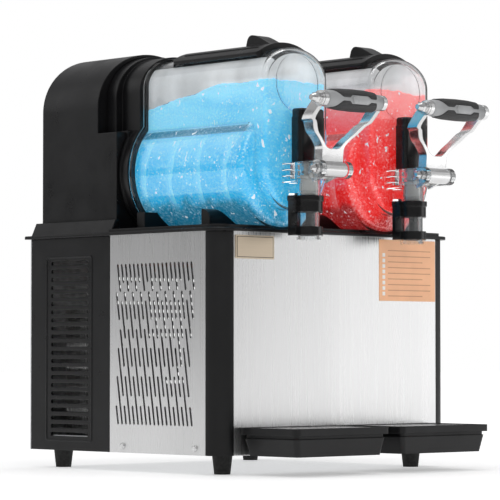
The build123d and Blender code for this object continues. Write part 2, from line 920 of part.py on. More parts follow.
# ---------------------------------------------------------------- tap
def make_spout_bracket(side, x):
    back = spout_y + 11.4
    front = spout_y - 1
    with BuildPart() as bracket:
        for low, high in (
            (bracket_low_z, bracket_low_top_z),
            (bracket_high_z, bracket_top_z),
        ):
            with BuildSketch(level(deck_z + low, x, spout_y)):
                Circle(tube_radius + 4)
                with Locations((0, (back + front) / 2 - spout_y)):
                    Rectangle(2 * bracket_half_width, back - front)
            extrude(amount=high - low)
        add(box_between((x - bracket_half_width, back - 5, deck_z + bracket_low_z),
                        (x + bracket_half_width, back, deck_z + bracket_top_z)))
        with BuildSketch(level(deck_z + bracket_top_z - 6, x, spout_y)):
            Circle(tube_radius + 5.2)
            with Locations((0, (back + front) / 2 - spout_y)):
                Rectangle(2 * bracket_half_width + 2.4, back - front)
        extrude(amount=6)
        with BuildSketch(level(deck_z + bracket_low_z, x, spout_y)):
            Circle(tube_radius + assembly_gap)
        extrude(amount=bracket_top_z - bracket_low_z, mode=Mode.SUBTRACT)
    save(bracket, f"spout_bracket_{side}")


def make_spring_cover(side, x):
    middle_y = spout_y + 0.9
    cap_height = 10
    with BuildPart() as cover:
        with BuildSketch(level(spout_top, x, middle_y)):
            RectangleRounded(cover_block_width, cover_block_depth, 5)
        extrude(amount=cover_block_height - cap_height)
        with BuildSketch(level(spout_top + cover_block_height - cap_height, x, middle_y)):
            RectangleRounded(cover_block_width - 1.6, cover_block_depth - 1.6, 4.4)
        extrude(amount=cap_height)
        fillet(cover.edges().group_by(Axis.Z)[-1], 3)
        with BuildSketch(level(spout_top, x, middle_y)):
            RectangleRounded(cover_block_width - 5, cover_block_depth - 5, 2.5)
        extrude(amount=cover_block_height - moulding, mode=Mode.SUBTRACT)
        lug_rise = lug_z + 3 + plunger_lift + 1.2
        add(box_between((x - 4.6, middle_y - cover_block_depth, spout_top - 1),
                        (x + 4.6, spout_y, lug_rise)), mode=Mode.SUBTRACT)
    save(cover, f"spring_cover_{side}")


def make_tap_plunger(side, x):
    low = deck_z + passage_z - passage_height / 2 - 2
    shoulder = lug_z + 1.4
    rod_top = shoulder + 44
    with BuildPart() as plunger:
        with BuildSketch(level(low, x, spout_y)):
            Circle(plunger_radius)
        extrude(amount=shoulder - low)
        with BuildSketch(level(shoulder, x, spout_y)):
            Circle(rod_radius)
        extrude(amount=rod_top - shoulder)
        for groove_z in (low + 3, shoulder - 5):
            with BuildSketch(level(groove_z, x, spout_y)):
                Circle(plunger_radius + 1)
                Circle(plunger_radius - 0.8, mode=Mode.SUBTRACT)
            extrude(amount=1.6, mode=Mode.SUBTRACT)
        add(box_between((x - 3.6, lug_y - 1, lug_z - 3), (x + 3.6, spout_y, lug_z + 3)))
        with BuildSketch(facing_right(x - 12)):
            with Locations((lug_y, lug_z)):
                Circle(lever_pin_radius)
        extrude(amount=24)
    save(plunger, f"tap_plunger_{side}")


def make_tap_spring(side, x):
    low = lug_z + 1.4 + spring_wire / 2 + 0.2
    high = spout_top + cover_block_height - moulding - spring_wire / 2 - 0.2
    turns = 9
    with BuildPart() as spring:
        with BuildLine() as coil:
            Helix((high - low) / turns, high - low, spring_radius, center=(x, spout_y, low))
        with BuildSketch(Plane(origin=coil.line @ 0, z_dir=coil.line % 0)):
            Circle(spring_wire / 2)
        sweep(is_frenet=True)
    save(spring, f"tap_spring_{side}")


yoke_plate_half = 16.9
arm_outer = ((16.9, 88), (19.3, 94), (26.5, 101), (36.5, 109), (45, 118.5), (49.4, 130))
arm_inner = ((6, 89.5), (11.5, 92), (19, 99.5), (30, 109), (38.7, 118.5), (43.8, 131))
strap_front = ((-0.8, 66), (-2.2, 90), (-6, 105), (-14, 118), (-24.5, 129.5), (-33, 137))
strap_rear = ((12, 66), (10.6, 92), (5.7, 110), (-4, 126), (-15.3, 138.7), (-24.4, 146.8))


def make_tap_yoke(side, x):
    eyelet_inner = grip_half_length + assembly_gap
    reach = lever_pin / cos(radians(lever_rest)) + 3.4
    with BuildPart() as yoke:
        # fork seen from the front
        with BuildSketch(facing_front(x, pivot_y + 40)):
            with BuildLine():
                right = Spline(*[(a, deck_z + b) for a, b in arm_outer],
                               tangents=((0, 1), (0, 1)))
                inner = Spline(*[(a, deck_z + b) for a, b in arm_inner],
                               tangents=((1, 0.1), (0, 1)))
                right_top = (arm_outer[-1][0], grip_axis)
                inner_top = (arm_inner[-1][0], grip_axis)
                Polyline(right @ 1, right_top, inner_top, inner @ 1)
                Polyline((0, pivot), (yoke_plate_half, pivot), right @ 0)
                Line(inner @ 0, (0, arm_inner[0][1] + deck_z))
                mirror(about=Plane.YZ)
            make_face()
        extrude(amount=90)
        # the same fork seen from the side
        with BuildSketch(facing_right(x - 60), mode=Mode.PRIVATE) as side_view:
            with BuildLine():
                near = Spline(*[(pivot_y + a, deck_z + b) for a, b in strap_front],
                              tangents=((0, 1), (-1, 0.85)))
                far = Spline(*[(pivot_y + a, deck_z + b) for a, b in strap_rear],
                             tangents=((0, 1), (-1, 0.85)))
                Line(near @ 0, far @ 0)
                Line(near @ 1, far @ 1)
            make_face()
        extrude(side_view.sketch, amount=120, mode=Mode.INTERSECT)
        for sign in (-1, 1):
            with BuildSketch(facing_right(x + sign * eyelet_inner)):
                with Locations((grip_y, grip_axis)):
                    Circle(eyelet_radius)
            extrude(amount=sign * eyelet_thickness)
        with BuildSketch(facing_right(x - yoke_plate_half)):
            with Locations((pivot_y, pivot)):
                Circle(barrel_radius)
        extrude(amount=2 * yoke_plate_half)
        # two slotted fingers that lift the plunger's cross pin
        for sign in (-1, 1):
            with BuildSketch(facing_right(x + sign * 8)):
                with Locations(Location((pivot_y, pivot, 0), (0, 0, -lever_rest))):
                    with Locations((reach / 2, 0)):
                        Rectangle(reach, 13)
                    with Locations((lever_pin + 6, 0)):
                        Rectangle(20, 2 * lever_pin_radius + 0.8, mode=Mode.SUBTRACT)
            extrude(amount=sign * 3.5)
        with BuildSketch(facing_right(x - yoke_plate_half)):
            with Locations((pivot_y, pivot)):
                Circle(pin_radius + running_clearance)
        extrude(amount=2 * yoke_plate_half, mode=Mode.SUBTRACT)
        with BuildSketch(facing_right(x - 60)):
            with Locations((grip_y, grip_axis)):
                Circle(grip_bolt_radius + running_clearance)
        extrude(amount=120, mode=Mode.SUBTRACT)
    save(yoke, f"tap_yoke_{side}")


def make_pivot_pins():
    ear_outer = ear_inner + ear_thickness
    with BuildPart() as pins:
        for x in modules.values():
            with BuildSketch(facing_right(x - ear_outer - 3)):
                with Locations((pivot_y, pivot)):
                    Circle(pin_radius)
            extrude(amount=2 * ear_outer + 3)
            with BuildSketch(facing_right(x - ear_outer)):
                with Locations((pivot_y, pivot)):
                    Circle(6.5)
            extrude(amount=-1.2)
            with BuildSketch(facing_right(x - ear_outer - 1.2)):
                with Locations((pivot_y, pivot)):
                    RegularPolygon(5.4, 6)
            extrude(amount=-4.5)
            with BuildSketch(facing_right(x - ear_outer - 5.7)):
                with Locations((pivot_y, pivot)):
                    Circle(4.2)
            extrude(amount=-3.6, taper=25)
    save(pins, "pivot_pins")


def make_tap_grip(side, x):
    with BuildPart() as grip:
        with BuildSketch(facing_front(x, grip_y)):
            with BuildLine():
                crown = Spline(
                    (-grip_half_length, grip_axis + grip_end_radius),
                    (-grip_half_length * 0.5, grip_axis + grip_radius * 0.93),
                    (0, grip_axis + grip_radius),
                    (grip_half_length * 0.55, grip_axis + grip_radius * 0.9),
                    (grip_half_length, grip_axis + grip_end_radius),
                )
                Polyline(
                    crown @ 0,
                    (-grip_half_length, grip_axis),
                    (grip_half_length, grip_axis),
                    crown @ 1,
                )
            make_face()
        revolve(axis=Axis((x, grip_y, grip_axis), (1, 0, 0)))
        with BuildSketch(facing_right(x - grip_half_length)):
            with Locations((grip_y, grip_axis)):
                Circle(grip_bolt_radius + running_clearance)
        extrude(amount=2 * grip_half_length, mode=Mode.SUBTRACT)
    save(grip, f"tap_grip_{side}")


def make_grip_bolt(side, x):
    seat = grip_half_length + assembly_gap + eyelet_thickness
    with BuildPart() as bolt:
        with BuildSketch(facing_right(x - seat - 5)):
            with Locations((grip_y, grip_axis)):
                Circle(grip_bolt_radius)
        extrude(amount=2 * seat + 5)
        for start, depth, radius in ((0, 2.6, 8.4), (2.6, 1.8, 7)):
            with BuildSketch(facing_right(x - seat - start)):
                with Locations((grip_y, grip_axis)):
                    Circle(radius)
            extrude(amount=-depth)
        with BuildSketch(facing_right(x - seat - 4.4)):
            with Locations((grip_y, grip_axis)):
                RegularPolygon(6.4, 6)
        extrude(amount=-5)
        with BuildSketch(facing_right(x - seat - 9.4)):
            with Locations((grip_y, grip_axis)):
                Circle(5)
        extrude(amount=-5.4, taper=18)
        with BuildSketch(facing_front(x, grip_y)):
            with BuildLine():
                dome = CenterArc((seat - 1, grip_axis), 9.2, 90, -90)
                Polyline(
                    dome @ 0,
                    (seat, grip_axis + 9.2),
                    (seat, grip_axis),
                    dome @ 1,
                )
            make_face()
        revolve(axis=Axis((x, grip_y, grip_axis), (1, 0, 0)))
        add(box_between((x + seat - 3, grip_y - 12, grip_axis - 12),
                        (x + seat, grip_y + 12, grip_axis + 12)), mode=Mode.SUBTRACT)
        with BuildSketch(facing_right(x + seat - 4)):
            with Locations((grip_y, grip_axis)):
                Circle(grip_bolt_radius)
        extrude(amount=6)
    save(bolt, f"grip_bolt_{side}")


# ---------------------------------------------------------------- lids
def make_lid(side, x):
    half = lid_half_width
    outer_half = neck_half_width + 6
    base_half = neck_half_width + assembly_gap
    back_y = front_y + lid_length
    with BuildPart() as lid:
        crown = arch_face(facing_front(x, back_y), outer_half, neck_spring_z - 1,
                          neck_spring_z, neck_rise + lid_rise)
        extrude(crown, amount=lid_length)
        cavity = arch_face(facing_front(x, back_y - 4), outer_half - lid_wall,
                           neck_spring_z - 1, neck_spring_z, neck_rise + lid_rise - lid_wall)
        extrude(cavity, amount=lid_length - 8, mode=Mode.SUBTRACT)
        seat = arch_face(facing_front(x, back_y + 5), base_half, neck_spring_z - 10,
                         neck_spring_z, neck_rise + assembly_gap)
        extrude(seat, amount=lid_length + 10, mode=Mode.SUBTRACT)
        with BuildSketch(level(neck_spring_z, x, front_y + lid_length / 2)):
            RectangleRounded(2 * half, lid_length, 6)
        extrude(amount=neck_rise + 2 * lid_rise, mode=Mode.INTERSECT)
        # skirt that drops into the filling mouth
        mouth_half = fill_half_width - skirt_gap
        low = neck_top_z - skirt_depth
        with BuildSketch(level(low, x, front_y + (fill_start + fill_end) / 2)):
            RectangleRounded(2 * mouth_half, fill_end - fill_start - 2 * skirt_gap, 6)
            RectangleRounded(
                2 * mouth_half - 4, fill_end - fill_start - 2 * skirt_gap - 4, 4,
                mode=Mode.SUBTRACT,
            )
        extrude(amount=skirt_depth + lid_rise - lid_wall - 3)
        # finger fin
        crest = neck_top_z + lid_rise
        with BuildSketch(facing_right(x - fin_width / 2)):
            with BuildLine():
                back = Line((front_y + 56, crest - 4), (front_y + 53, crest + 6))
                top = Spline(
                    (front_y + 53, crest + 6),
                    (front_y + 47, crest + fin_height - 1.5),
                    (front_y + 39, crest + fin_height - 2.5),
                    (front_y + 24, crest + 4),
                    (front_y + 10, crest - 2),
                )
                Polyline(top @ 1, (front_y + 10, crest - 4), back @ 0)
            make_face()
        extrude(amount=fin_width)
    save(lid, f"lid_{side}")


# ---------------------------------------------------------------- drip trays
def make_drip_tray(side, centre_x):
    low = cabinet_z
    rim_low = low + tray_height - tray_rim
    middle_y = front_y - tray_reach / 2 - assembly_gap / 2
    depth = tray_reach - assembly_gap
    neck = 3.5
    with BuildPart() as tray:
        with BuildSketch(level(low, centre_x, middle_y)):
            RectangleRounded(tray_width - 2 * tray_taper - 2 * neck,
                             depth - 2 * tray_taper - neck, 5)
        with BuildSketch(level(rim_low - 4, centre_x, middle_y)):
            RectangleRounded(tray_width - 2 * neck, depth - 2 * neck, 6)
        loft()
        with BuildSketch(level(rim_low - 4, centre_x, middle_y)):
            RectangleRounded(tray_width - 2 * neck - 3, depth - 2 * neck - 3, 5)
        extrude(amount=4)
        with BuildSketch(level(rim_low, centre_x, middle_y)):
            RectangleRounded(tray_width, depth, 7)
        extrude(amount=tray_rim)
        with BuildSketch(level(low + tray_wall, centre_x, middle_y)):
            RectangleRounded(tray_width - 2 * tray_taper - 2 * neck - 2 * tray_wall,
                             depth - 2 * tray_taper - neck - 2 * tray_wall, 3)
        extrude(amount=tray_height, mode=Mode.SUBTRACT)
        with BuildSketch(level(rim_low + tray_rim - grille_thickness - 1, centre_x, middle_y)):
            RectangleRounded(tray_width - 2 * tray_wall, depth - 2 * tray_wall, 4.5)
        extrude(amount=tray_rim, mode=Mode.SUBTRACT)
        for dx in tab_offsets:
            add(box_between(
                (centre_x + dx - tab_width / 2, front_y - 8, tab_z - tab_height / 2),
                (centre_x + dx + tab_width / 2, front_y + sheet + 3, tab_z + tab_height / 2),
            ))
    save(tray, f"drip_tray_{side}")


def make_drip_grille(side, centre_x):
    low = cabinet_z + tray_height - grille_thickness - 1 + 0.1
    middle_y = front_y - tray_reach / 2 - assembly_gap / 2
    width = tray_width - 2 * tray_wall - 1
    depth = tray_reach - assembly_gap - 2 * tray_wall - 1
    with BuildPart() as grille:
        with BuildSketch(level(low, centre_x, middle_y)):
            RectangleRounded(width, depth, 4)
            with GridLocations(9.6, (depth - 10) / 2, 14, 2):
                SlotOverall((depth - 22) / 2, 5.4, rotation=90, mode=Mode.SUBTRACT)
        extrude(amount=grille_thickness)
    save(grille, f"drip_grille_{side}")


# ---------------------------------------------------------------- cooling
compressor_place = (70, front_y + 235)
compressor_radius = 55
compressor_height = 120
condenser_x = -half_width + 42
condenser_size = (26, 116, 170)
condenser_y = front_y + 250
fan_x = condenser_x + 62
fan_z = cabinet_z + 110
fan_radius = 50
fan_bore = 3
blade_pitch = 35


def make_compressor():
    x, y = compressor_place
    base = cabinet_z + pan_wall
    with BuildPart() as compressor:
        add(box_between((x - 55, y - 45, base), (x + 55, y + 45, base + 4)))
        with BuildSketch(level(base + 3, x, y)):
            Circle(compressor_radius - 4)
        extrude(amount=compressor_height)
        rims = compressor.edges().filter_by(GeomType.CIRCLE).group_by(Axis.Z)
        fillet(rims[-1], 30)
    save(compressor, "compressor")


def make_condenser():
    wide, deep, tall = condenser_size
    middle_z = cabinet_z + pan_wall + tall / 2
    with BuildPart() as condenser:
        with BuildSketch(level(cabinet_z + pan_wall, condenser_x, condenser_y)):
            with Locations((0, deep / 2 - 1), (0, -deep / 2 + 1)):
                Rectangle(wide, 2)
        extrude(amount=tall)
        with BuildSketch(facing_front(condenser_x, condenser_y + deep / 2)):
            with Locations((0, middle_z)):
                with GridLocations(14, 26, 2, 6):
                    Circle(4.5)
        extrude(amount=deep)
        for i in range(21):
            fin_y = condenser_y - deep / 2 + 8 + i * (deep - 16) / 20
            add(box_between(
                (condenser_x - wide / 2, fin_y - 0.5, cabinet_z + pan_wall + 2),
                (condenser_x + wide / 2, fin_y + 0.5, cabinet_z + pan_wall + tall - 2),
            ))
    save(condenser, "condenser")


def make_fan():
    with BuildPart() as motor:
        with BuildSketch(facing_right(fan_x)):
            with Locations((condenser_y, fan_z)):
                Circle(26)
        extrude(amount=34)
        with BuildSketch(facing_right(fan_x)):
            with Locations((condenser_y, fan_z)):
                Circle(fan_bore)
        extrude(amount=-26)
        add(box_between((fan_x + 6, condenser_y - 14, cabinet_z + pan_wall),
                        (fan_x + 24, condenser_y + 14, fan_z - 20)))
        add(box_between((fan_x, condenser_y - 26, cabinet_z + pan_wall),
                        (fan_x + 30, condenser_y + 26, cabinet_z + pan_wall + 3)))
    save(motor, "fan_motor")
    with BuildPart() as rotor:
        with BuildSketch(facing_right(fan_x - 3)):
            with Locations((condenser_y, fan_z)):
                Circle(15)
        extrude(amount=-20)
        for i in range(5):
            angle = radians(72 * i)
            outward = Vector(0, cos(angle), sin(angle))
            across = Vector(0, -sin(angle), cos(angle))
            chord = across * cos(radians(blade_pitch)) + Vector(sin(radians(blade_pitch)), 0, 0)
            root = Vector(fan_x - 13, condenser_y, fan_z) + outward * 12
            blade = Plane(origin=root, x_dir=chord, z_dir=outward)
            with BuildSketch(blade):
                Rectangle(1.8, 24)
            extrude(amount=fan_radius - 12)
        with BuildSketch(facing_right(fan_x)):
            with Locations((condenser_y, fan_z)):
                Circle(fan_bore + running_clearance)
        extrude(amount=-30, mode=Mode.SUBTRACT)
    save(rotor, "fan_rotor")


def make_refrigerant_lines():
    tube = 3
    x0, y0 = compressor_place
    base = cabinet_z + pan_wall
    top = base + 3 + compressor_height
    high = axis_z - 30
    evaporator_end = rim_y + seal_thickness + moulding + 3
    with BuildPart() as lines:
        for x in modules.values():
            with BuildLine() as route:
                FilletPolyline(
                    (x, line_y, cabinet_top - 40),
                    (x, line_y, high),
                    (x, evaporator_end - 60, high),
                    radius=14,
                )
            with BuildSketch(Plane(origin=route.line @ 0, z_dir=route.line % 0)):
                Circle(tube)
            sweep()
        with BuildLine() as header:
            FilletPolyline(
                (x0 - 20, y0, top),
                (x0 - 20, y0, cabinet_top - 30),
                (condenser_x, y0, cabinet_top - 30),
                (condenser_x, y0, base + condenser_size[2] + 2),
                radius=14,
            )
        with BuildSketch(Plane(origin=header.line @ 0, z_dir=header.line % 0)):
            Circle(tube)
        sweep()
    save(lines, "refrigerant_lines")


# ---------------------------------------------------------------- electrics
control_y = front_y + 78
control_z = cabinet_z + 212
control_length = 96
control_height = 46
control_thickness = 2
rocker_length = 22
rocker_width = 14
rocker_tilt = 7
rocker_gap = 0.7
rocker_pivot = 1            # in front of the side panel's face
rocker_barrel = 1.3
rocker_face = 2.4
rocker_names = {"power_switch": 0, "mode_switch_left": -30, "mode_switch_right": 30}


def make_power_inlet():
    depth = 22
    with BuildPart() as inlet:
        with BuildSketch(facing_front(inlet_x, rear_y + sheet)):
            with Locations((0, inlet_z)):
                Rectangle(inlet_width, inlet_height)
        extrude(amount=depth)
        with BuildSketch(facing_front(inlet_x, rear_y + sheet + 2)):
            with Locations((0, inlet_z)):
                RectangleRounded(inlet_width + 9, inlet_height + 7, 2)
        extrude(amount=2)
        with BuildSketch(facing_front(inlet_x, rear_y + sheet + 2)):
            with Locations((0, inlet_z)):
                RectangleRounded(inlet_width - 4, inlet_height - 5, 2)
                with Locations((0, 2), (-7, -2), (7, -2)):
                    Rectangle(2, 5, mode=Mode.SUBTRACT)
        extrude(amount=depth - 4, mode=Mode.SUBTRACT)
    save(inlet, "power_inlet")


def make_control_panel():
    with BuildPart() as panel:
        with BuildSketch(facing_right(half_width)):
            with Locations((control_y, control_z)):
                RectangleRounded(control_length, control_height, 4)
                with Locations(*[(dy, 0) for dy in rocker_names.values()]):
                    Rectangle(
                        rocker_width + 2 * rocker_gap,
                        rocker_length + 2 * rocker_gap,
                        mode=Mode.SUBTRACT,
                    )
        extrude(amount=control_thickness)
    save(panel, "control_panel")


def make_rocker(name, dy):
    reach = rocker_length / 2
    proud = rocker_face + 2 * reach * sin(radians(rocker_tilt))
    side = facing_front(half_width, control_y + dy + rocker_width / 2)
    with BuildPart() as rocker:
        with BuildSketch(side):
            with BuildLine():
                Polyline(
                    (assembly_gap, control_z - reach),
                    (proud, control_z - reach),
                    (rocker_face, control_z),
                    (rocker_face, control_z + reach),
                    (assembly_gap, control_z + reach),
                    close=True,
                )
            make_face()
            with Locations((rocker_pivot, control_z)):
                Circle(rocker_barrel)
        extrude(amount=rocker_width)
    save(rocker, name)


def make_nameplate():
    with BuildPart() as plate:
        with BuildSketch(facing_front(-135, front_y)):
            with Locations((0, deck_z - 21.5)):
                RectangleRounded(60, 27, 1.5)
        extrude(amount=1.2)
    save(plate, "nameplate")


make_base_pan()
make_feet()
make_front_panel()
make_corner_posts()
make_side_panels()
make_vent_panels()
make_rear_panel()
make_screws()
make_top_deck()
make_bowl_seals()
make_shaft_seals()
make_pivot_pins()
for module, module_place in modules.items():
    make_bowl(module, module_place)
    make_rear_cover(module, module_place)
    make_bulkhead(module, module_place)
    make_evaporator(module, module_place)
    make_gearmotor(module, module_place)
    make_drive_shaft(module, module_place)
    make_auger(module, module_place)
    make_spout_bracket(module, module_place)
    make_spring_cover(module, module_place)
    make_tap_plunger(module, module_place)
    make_tap_spring(module, module_place)
    make_tap_yoke(module, module_place)
    make_tap_grip(module, module_place)
    make_grip_bolt(module, module_place)
    make_lid(module, module_place)
for module, tray_place in zip(modules, tray_centres):
    make_drip_tray(module, tray_place)
    make_drip_grille(module, tray_place)
make_compressor()
make_condenser()
make_fan()
make_refrigerant_lines()
make_power_inlet()
make_control_panel()
for rocker_name, rocker_place in rocker_names.items():
    make_rocker(rocker_name, rocker_place)
make_nameplate()
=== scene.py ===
from math import cos, pi, radians, sin, sqrt

import bmesh
import bpy
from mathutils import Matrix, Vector, noise


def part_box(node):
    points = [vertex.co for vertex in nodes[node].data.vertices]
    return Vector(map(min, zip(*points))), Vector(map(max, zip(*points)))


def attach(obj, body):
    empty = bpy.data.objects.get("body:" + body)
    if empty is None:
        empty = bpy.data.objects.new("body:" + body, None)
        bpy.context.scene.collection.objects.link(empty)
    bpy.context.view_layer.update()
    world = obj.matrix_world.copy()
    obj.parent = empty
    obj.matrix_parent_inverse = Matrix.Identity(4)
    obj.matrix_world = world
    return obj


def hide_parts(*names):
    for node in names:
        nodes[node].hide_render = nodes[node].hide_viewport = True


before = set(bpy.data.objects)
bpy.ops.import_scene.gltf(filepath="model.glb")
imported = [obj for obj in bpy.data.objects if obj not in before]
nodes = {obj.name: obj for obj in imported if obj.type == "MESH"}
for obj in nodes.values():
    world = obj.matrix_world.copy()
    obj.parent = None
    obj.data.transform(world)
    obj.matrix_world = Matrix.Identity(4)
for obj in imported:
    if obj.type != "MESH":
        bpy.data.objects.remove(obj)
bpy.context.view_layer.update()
SIDES = ("left", "right")
MM = 0.001

# places in the drink that the bowl's form sets
DRINK_FOOT_Z, DRINK_TOP_Z = 0.28, 0.455
DRUM_START_Y, DRUM_FULL_Y = -0.112, -0.104
CREASE_LOW_Z, CREASE_HIGH_Z, CREASE_BLUR = 0.3905, 0.4005, 0.002
FOOT_LOW_Z, FOOT_HIGH_Z = 0.309, 0.321
EDGE_LOW_Z, EDGE_HIGH_Z = 0.385, 0.395
EDGES_PER_METRE, EDGE_LEAN = 21.3, 2.5
# white of the ice flecks and of the painted highlights on bubbles
FLECK_AND_GLINT_WHITE = (0.88, 0.95, 1.0)


# ---------------------------------------------------------------- node helpers
# sockets of the Mix node that carry colours
COLOUR_A, COLOUR_B, COLOUR_RESULT = 6, 7, 2


class Graph:
    """A material with one Principled shader, and short ways to add nodes to it."""

    def __init__(self, name, **constants):
        self.material = bpy.data.materials.new(name)
        self.material.use_nodes = True
        self.tree = self.material.node_tree
        self.shader = self.tree.nodes["Principled BSDF"]
        for socket, value in constants.items():
            self.shader.inputs[socket.replace("_", " ")].default_value = value

    def add(self, kind, **inputs):
        node = self.tree.nodes.new(kind)
        for socket, value in inputs.items():
            self.put(node, socket.replace("_", " "), value)
        return node

    def put(self, node, socket, value):
        target = node.inputs[socket]
        if isinstance(value, bpy.types.NodeSocket):
            self.tree.links.new(value, target)
        else:
            target.default_value = value

    def set(self, socket, value):
        self.put(self.shader, socket, value)

    def place(self, scale=(1, 1, 1)):
        """Object coordinates in metres, stretched by scale."""
        coordinates = self.add("ShaderNodeTexCoord")
        mapping = self.add("ShaderNodeMapping", Vector=coordinates.outputs["Object"], Scale=scale)
        return mapping.outputs["Vector"]

    def noise(self, scale, detail=3.0, stretch=(1, 1, 1), rough=0.5, distortion=0.0):
        node = self.add("ShaderNodeTexNoise", Vector=self.place(stretch), Scale=scale,
                        Detail=detail, Roughness=rough, Distortion=distortion)
        return node.outputs["Fac"]

    def cells(self, scale, randomness=1.0):
        node = self.add("ShaderNodeTexVoronoi", Vector=self.place(), Scale=scale, Randomness=randomness)
        return node.outputs["Distance"]

    def ramp(self, factor, stops):
        node = self.add("ShaderNodeValToRGB", Fac=factor)
        elements = node.color_ramp.elements
        while len(elements) < len(stops):
            elements.new(0.5)
        for element, (position, colour) in zip(elements, stops):
            element.position = position
            element.color = (*colour, 1)
        return node.outputs["Color"]

    def span(self, value, low, high, start=0.0, end=1.0):
        """Maps start..end to low..high, held at both ends."""
        node = self.add("ShaderNodeMapRange", Value=value, From_Min=start, From_Max=end,
                        To_Min=low, To_Max=high)
        return node.outputs["Result"]

    def mix(self, factor, first, second, blend="MIX"):
        node = self.add("ShaderNodeMix")
        node.data_type = "RGBA"
        node.blend_type = blend
        self.put(node, "Factor", factor)
        for index, value in ((COLOUR_A, first), (COLOUR_B, second)):
            self.put(node, index, (*value, 1) if isinstance(value, tuple) else value)
        return node.outputs[COLOUR_RESULT]

    def math(self, operation, first, second):
        node = self.add("ShaderNodeMath")
        node.operation = operation
        self.put(node, 0, first)
        self.put(node, 1, second)
        return node.outputs[0]

    def axis(self, name):
        node = self.add("ShaderNodeSeparateXYZ", Vector=self.place())
        return node.outputs[name]

    def bump(self, height, strength, distance, normal=None):
        node = self.add("ShaderNodeBump", Height=height, Strength=strength, Distance=distance)
        if normal is not None:
            self.put(node, "Normal", normal)
        self.set("Normal", node.outputs["Normal"])


def spread(colour, amount):
    """The colour made darker, and made lighter, by the same share."""
    return tuple(c * (1 - amount) for c in colour), tuple(c * (1 + amount) for c in colour)


def grey(level):
    return (level, level, level)


# ---------------------------------------------------------------- materials
def moulded_plastic(name, colour, rough, grain=2600, grain_bump=0.12, coat=0.0):
    g = Graph(name, Coat_Weight=coat, Coat_Roughness=0.12, Specular_IOR_Level=0.3)
    dark, light = spread(colour, 0.3)
    g.set("Base Color", g.ramp(g.noise(16, 4), [(0.35, dark), (0.65, light)]))
    g.set("Roughness", g.span(g.noise(38, 4), rough - 0.06, rough + 0.08, 0.3, 0.7))
    fine = g.noise(grain, 2)
    slow = g.noise(9, 2)
    edges = g.add("ShaderNodeBevel", Radius=0.0018)
    first = g.add("ShaderNodeBump", Height=slow, Strength=0.25, Distance=0.0012,
                  Normal=edges.outputs["Normal"])
    g.bump(fine, grain_bump, 0.0002, first.outputs["Normal"])
    return g.material


def brushed_metal(name, colour, rough, along=(1, 1, 0.006), streak=0.045, band=0.0):
    g = Graph(name, Metallic=1.0, Anisotropic=0.5)
    fine = g.noise(2600, 2, along)
    wide = g.noise(700, 3, along)
    dark, light = spread(colour, streak)
    tone = g.ramp(g.mix(0.45, fine, wide), [(0.3, dark), (0.7, light)])
    if band:
        slow_dark, slow_light = spread((1, 1, 1), band)
        slow = g.ramp(g.noise(7, 1, (1, 1, 0.1)), [(0.3, slow_dark), (0.7, slow_light)])
        tone = g.mix(1.0, tone, slow, "MULTIPLY")
    g.set("Base Color", tone)
    g.set("Roughness", g.span(wide, rough - 0.02, rough + 0.04, 0.3, 0.7))
    g.bump(fine, 0.10, 0.00006)
    return g.material


def polished_chrome(name):
    g = Graph(name, Metallic=1.0)
    g.set("Base Color", g.ramp(g.noise(24, 3), [(0.3, grey(0.60)), (0.7, grey(0.70))]))
    g.set("Roughness", g.span(g.noise(130, 4), 0.17, 0.25, 0.35, 0.7))
    edges = g.add("ShaderNodeBevel", Radius=0.0012)
    g.bump(g.noise(60, 2), 0.07, 0.0008, edges.outputs["Normal"])
    return g.material


def clear_plastic(name):
    g = Graph(name, IOR=1.47, Transmission_Weight=0.975, Specular_IOR_Level=0.6)
    g.set("Base Color", g.ramp(g.noise(12, 2), [(0.3, (0.95, 0.97, 0.98)), (0.7, (0.99, 1.0, 1.0))]))
    g.set("Roughness", g.span(g.noise(45, 3), 0.0, 0.035, 0.35, 0.75))
    g.bump(g.noise(22, 2), 0.10, 0.0012)
    return g.material


def rubber(name):
    g = Graph(name, Specular_IOR_Level=0.3)
    dark, light = (0.010, 0.010, 0.010), (0.028, 0.028, 0.027)
    g.set("Base Color", g.ramp(g.noise(300, 4), [(0.3, dark), (0.75, light)]))
    g.set("Roughness", g.span(g.noise(90, 3), 0.62, 0.8))
    g.bump(g.noise(2200, 2), 0.3, 0.0002)
    return g.material


def enamel(name, colour, rough=0.38):
    g = Graph(name, Coat_Weight=0.3, Coat_Roughness=0.2)
    dark, light = spread(colour, 0.18)
    g.set("Base Color", g.ramp(g.noise(40, 5), [(0.35, dark), (0.7, light)]))
    g.set("Roughness", g.span(g.noise(120, 3), rough, rough + 0.14))
    g.bump(g.noise(420, 3), 0.2, 0.0004)
    return g.material


def spangled_zinc(name):
    g = Graph(name, Metallic=0.9)
    g.set("Base Color", g.ramp(g.cells(120), [(0.1, (0.46, 0.47, 0.48)), (0.9, (0.66, 0.67, 0.68))]))
    g.set("Roughness", g.span(g.noise(150, 3), 0.34, 0.55))
    g.bump(g.noise(500, 2), 0.12, 0.0003)
    return g.material


def copper(name):
    g = Graph(name, Metallic=1.0)
    g.set("Base Color", g.ramp(g.noise(60, 4), [(0.3, (0.42, 0.19, 0.10)), (0.7, (0.80, 0.43, 0.27))]))
    g.set("Roughness", g.span(g.noise(200, 3), 0.22, 0.42))
    g.bump(g.noise(800, 2), 0.1, 0.0002)
    return g.material


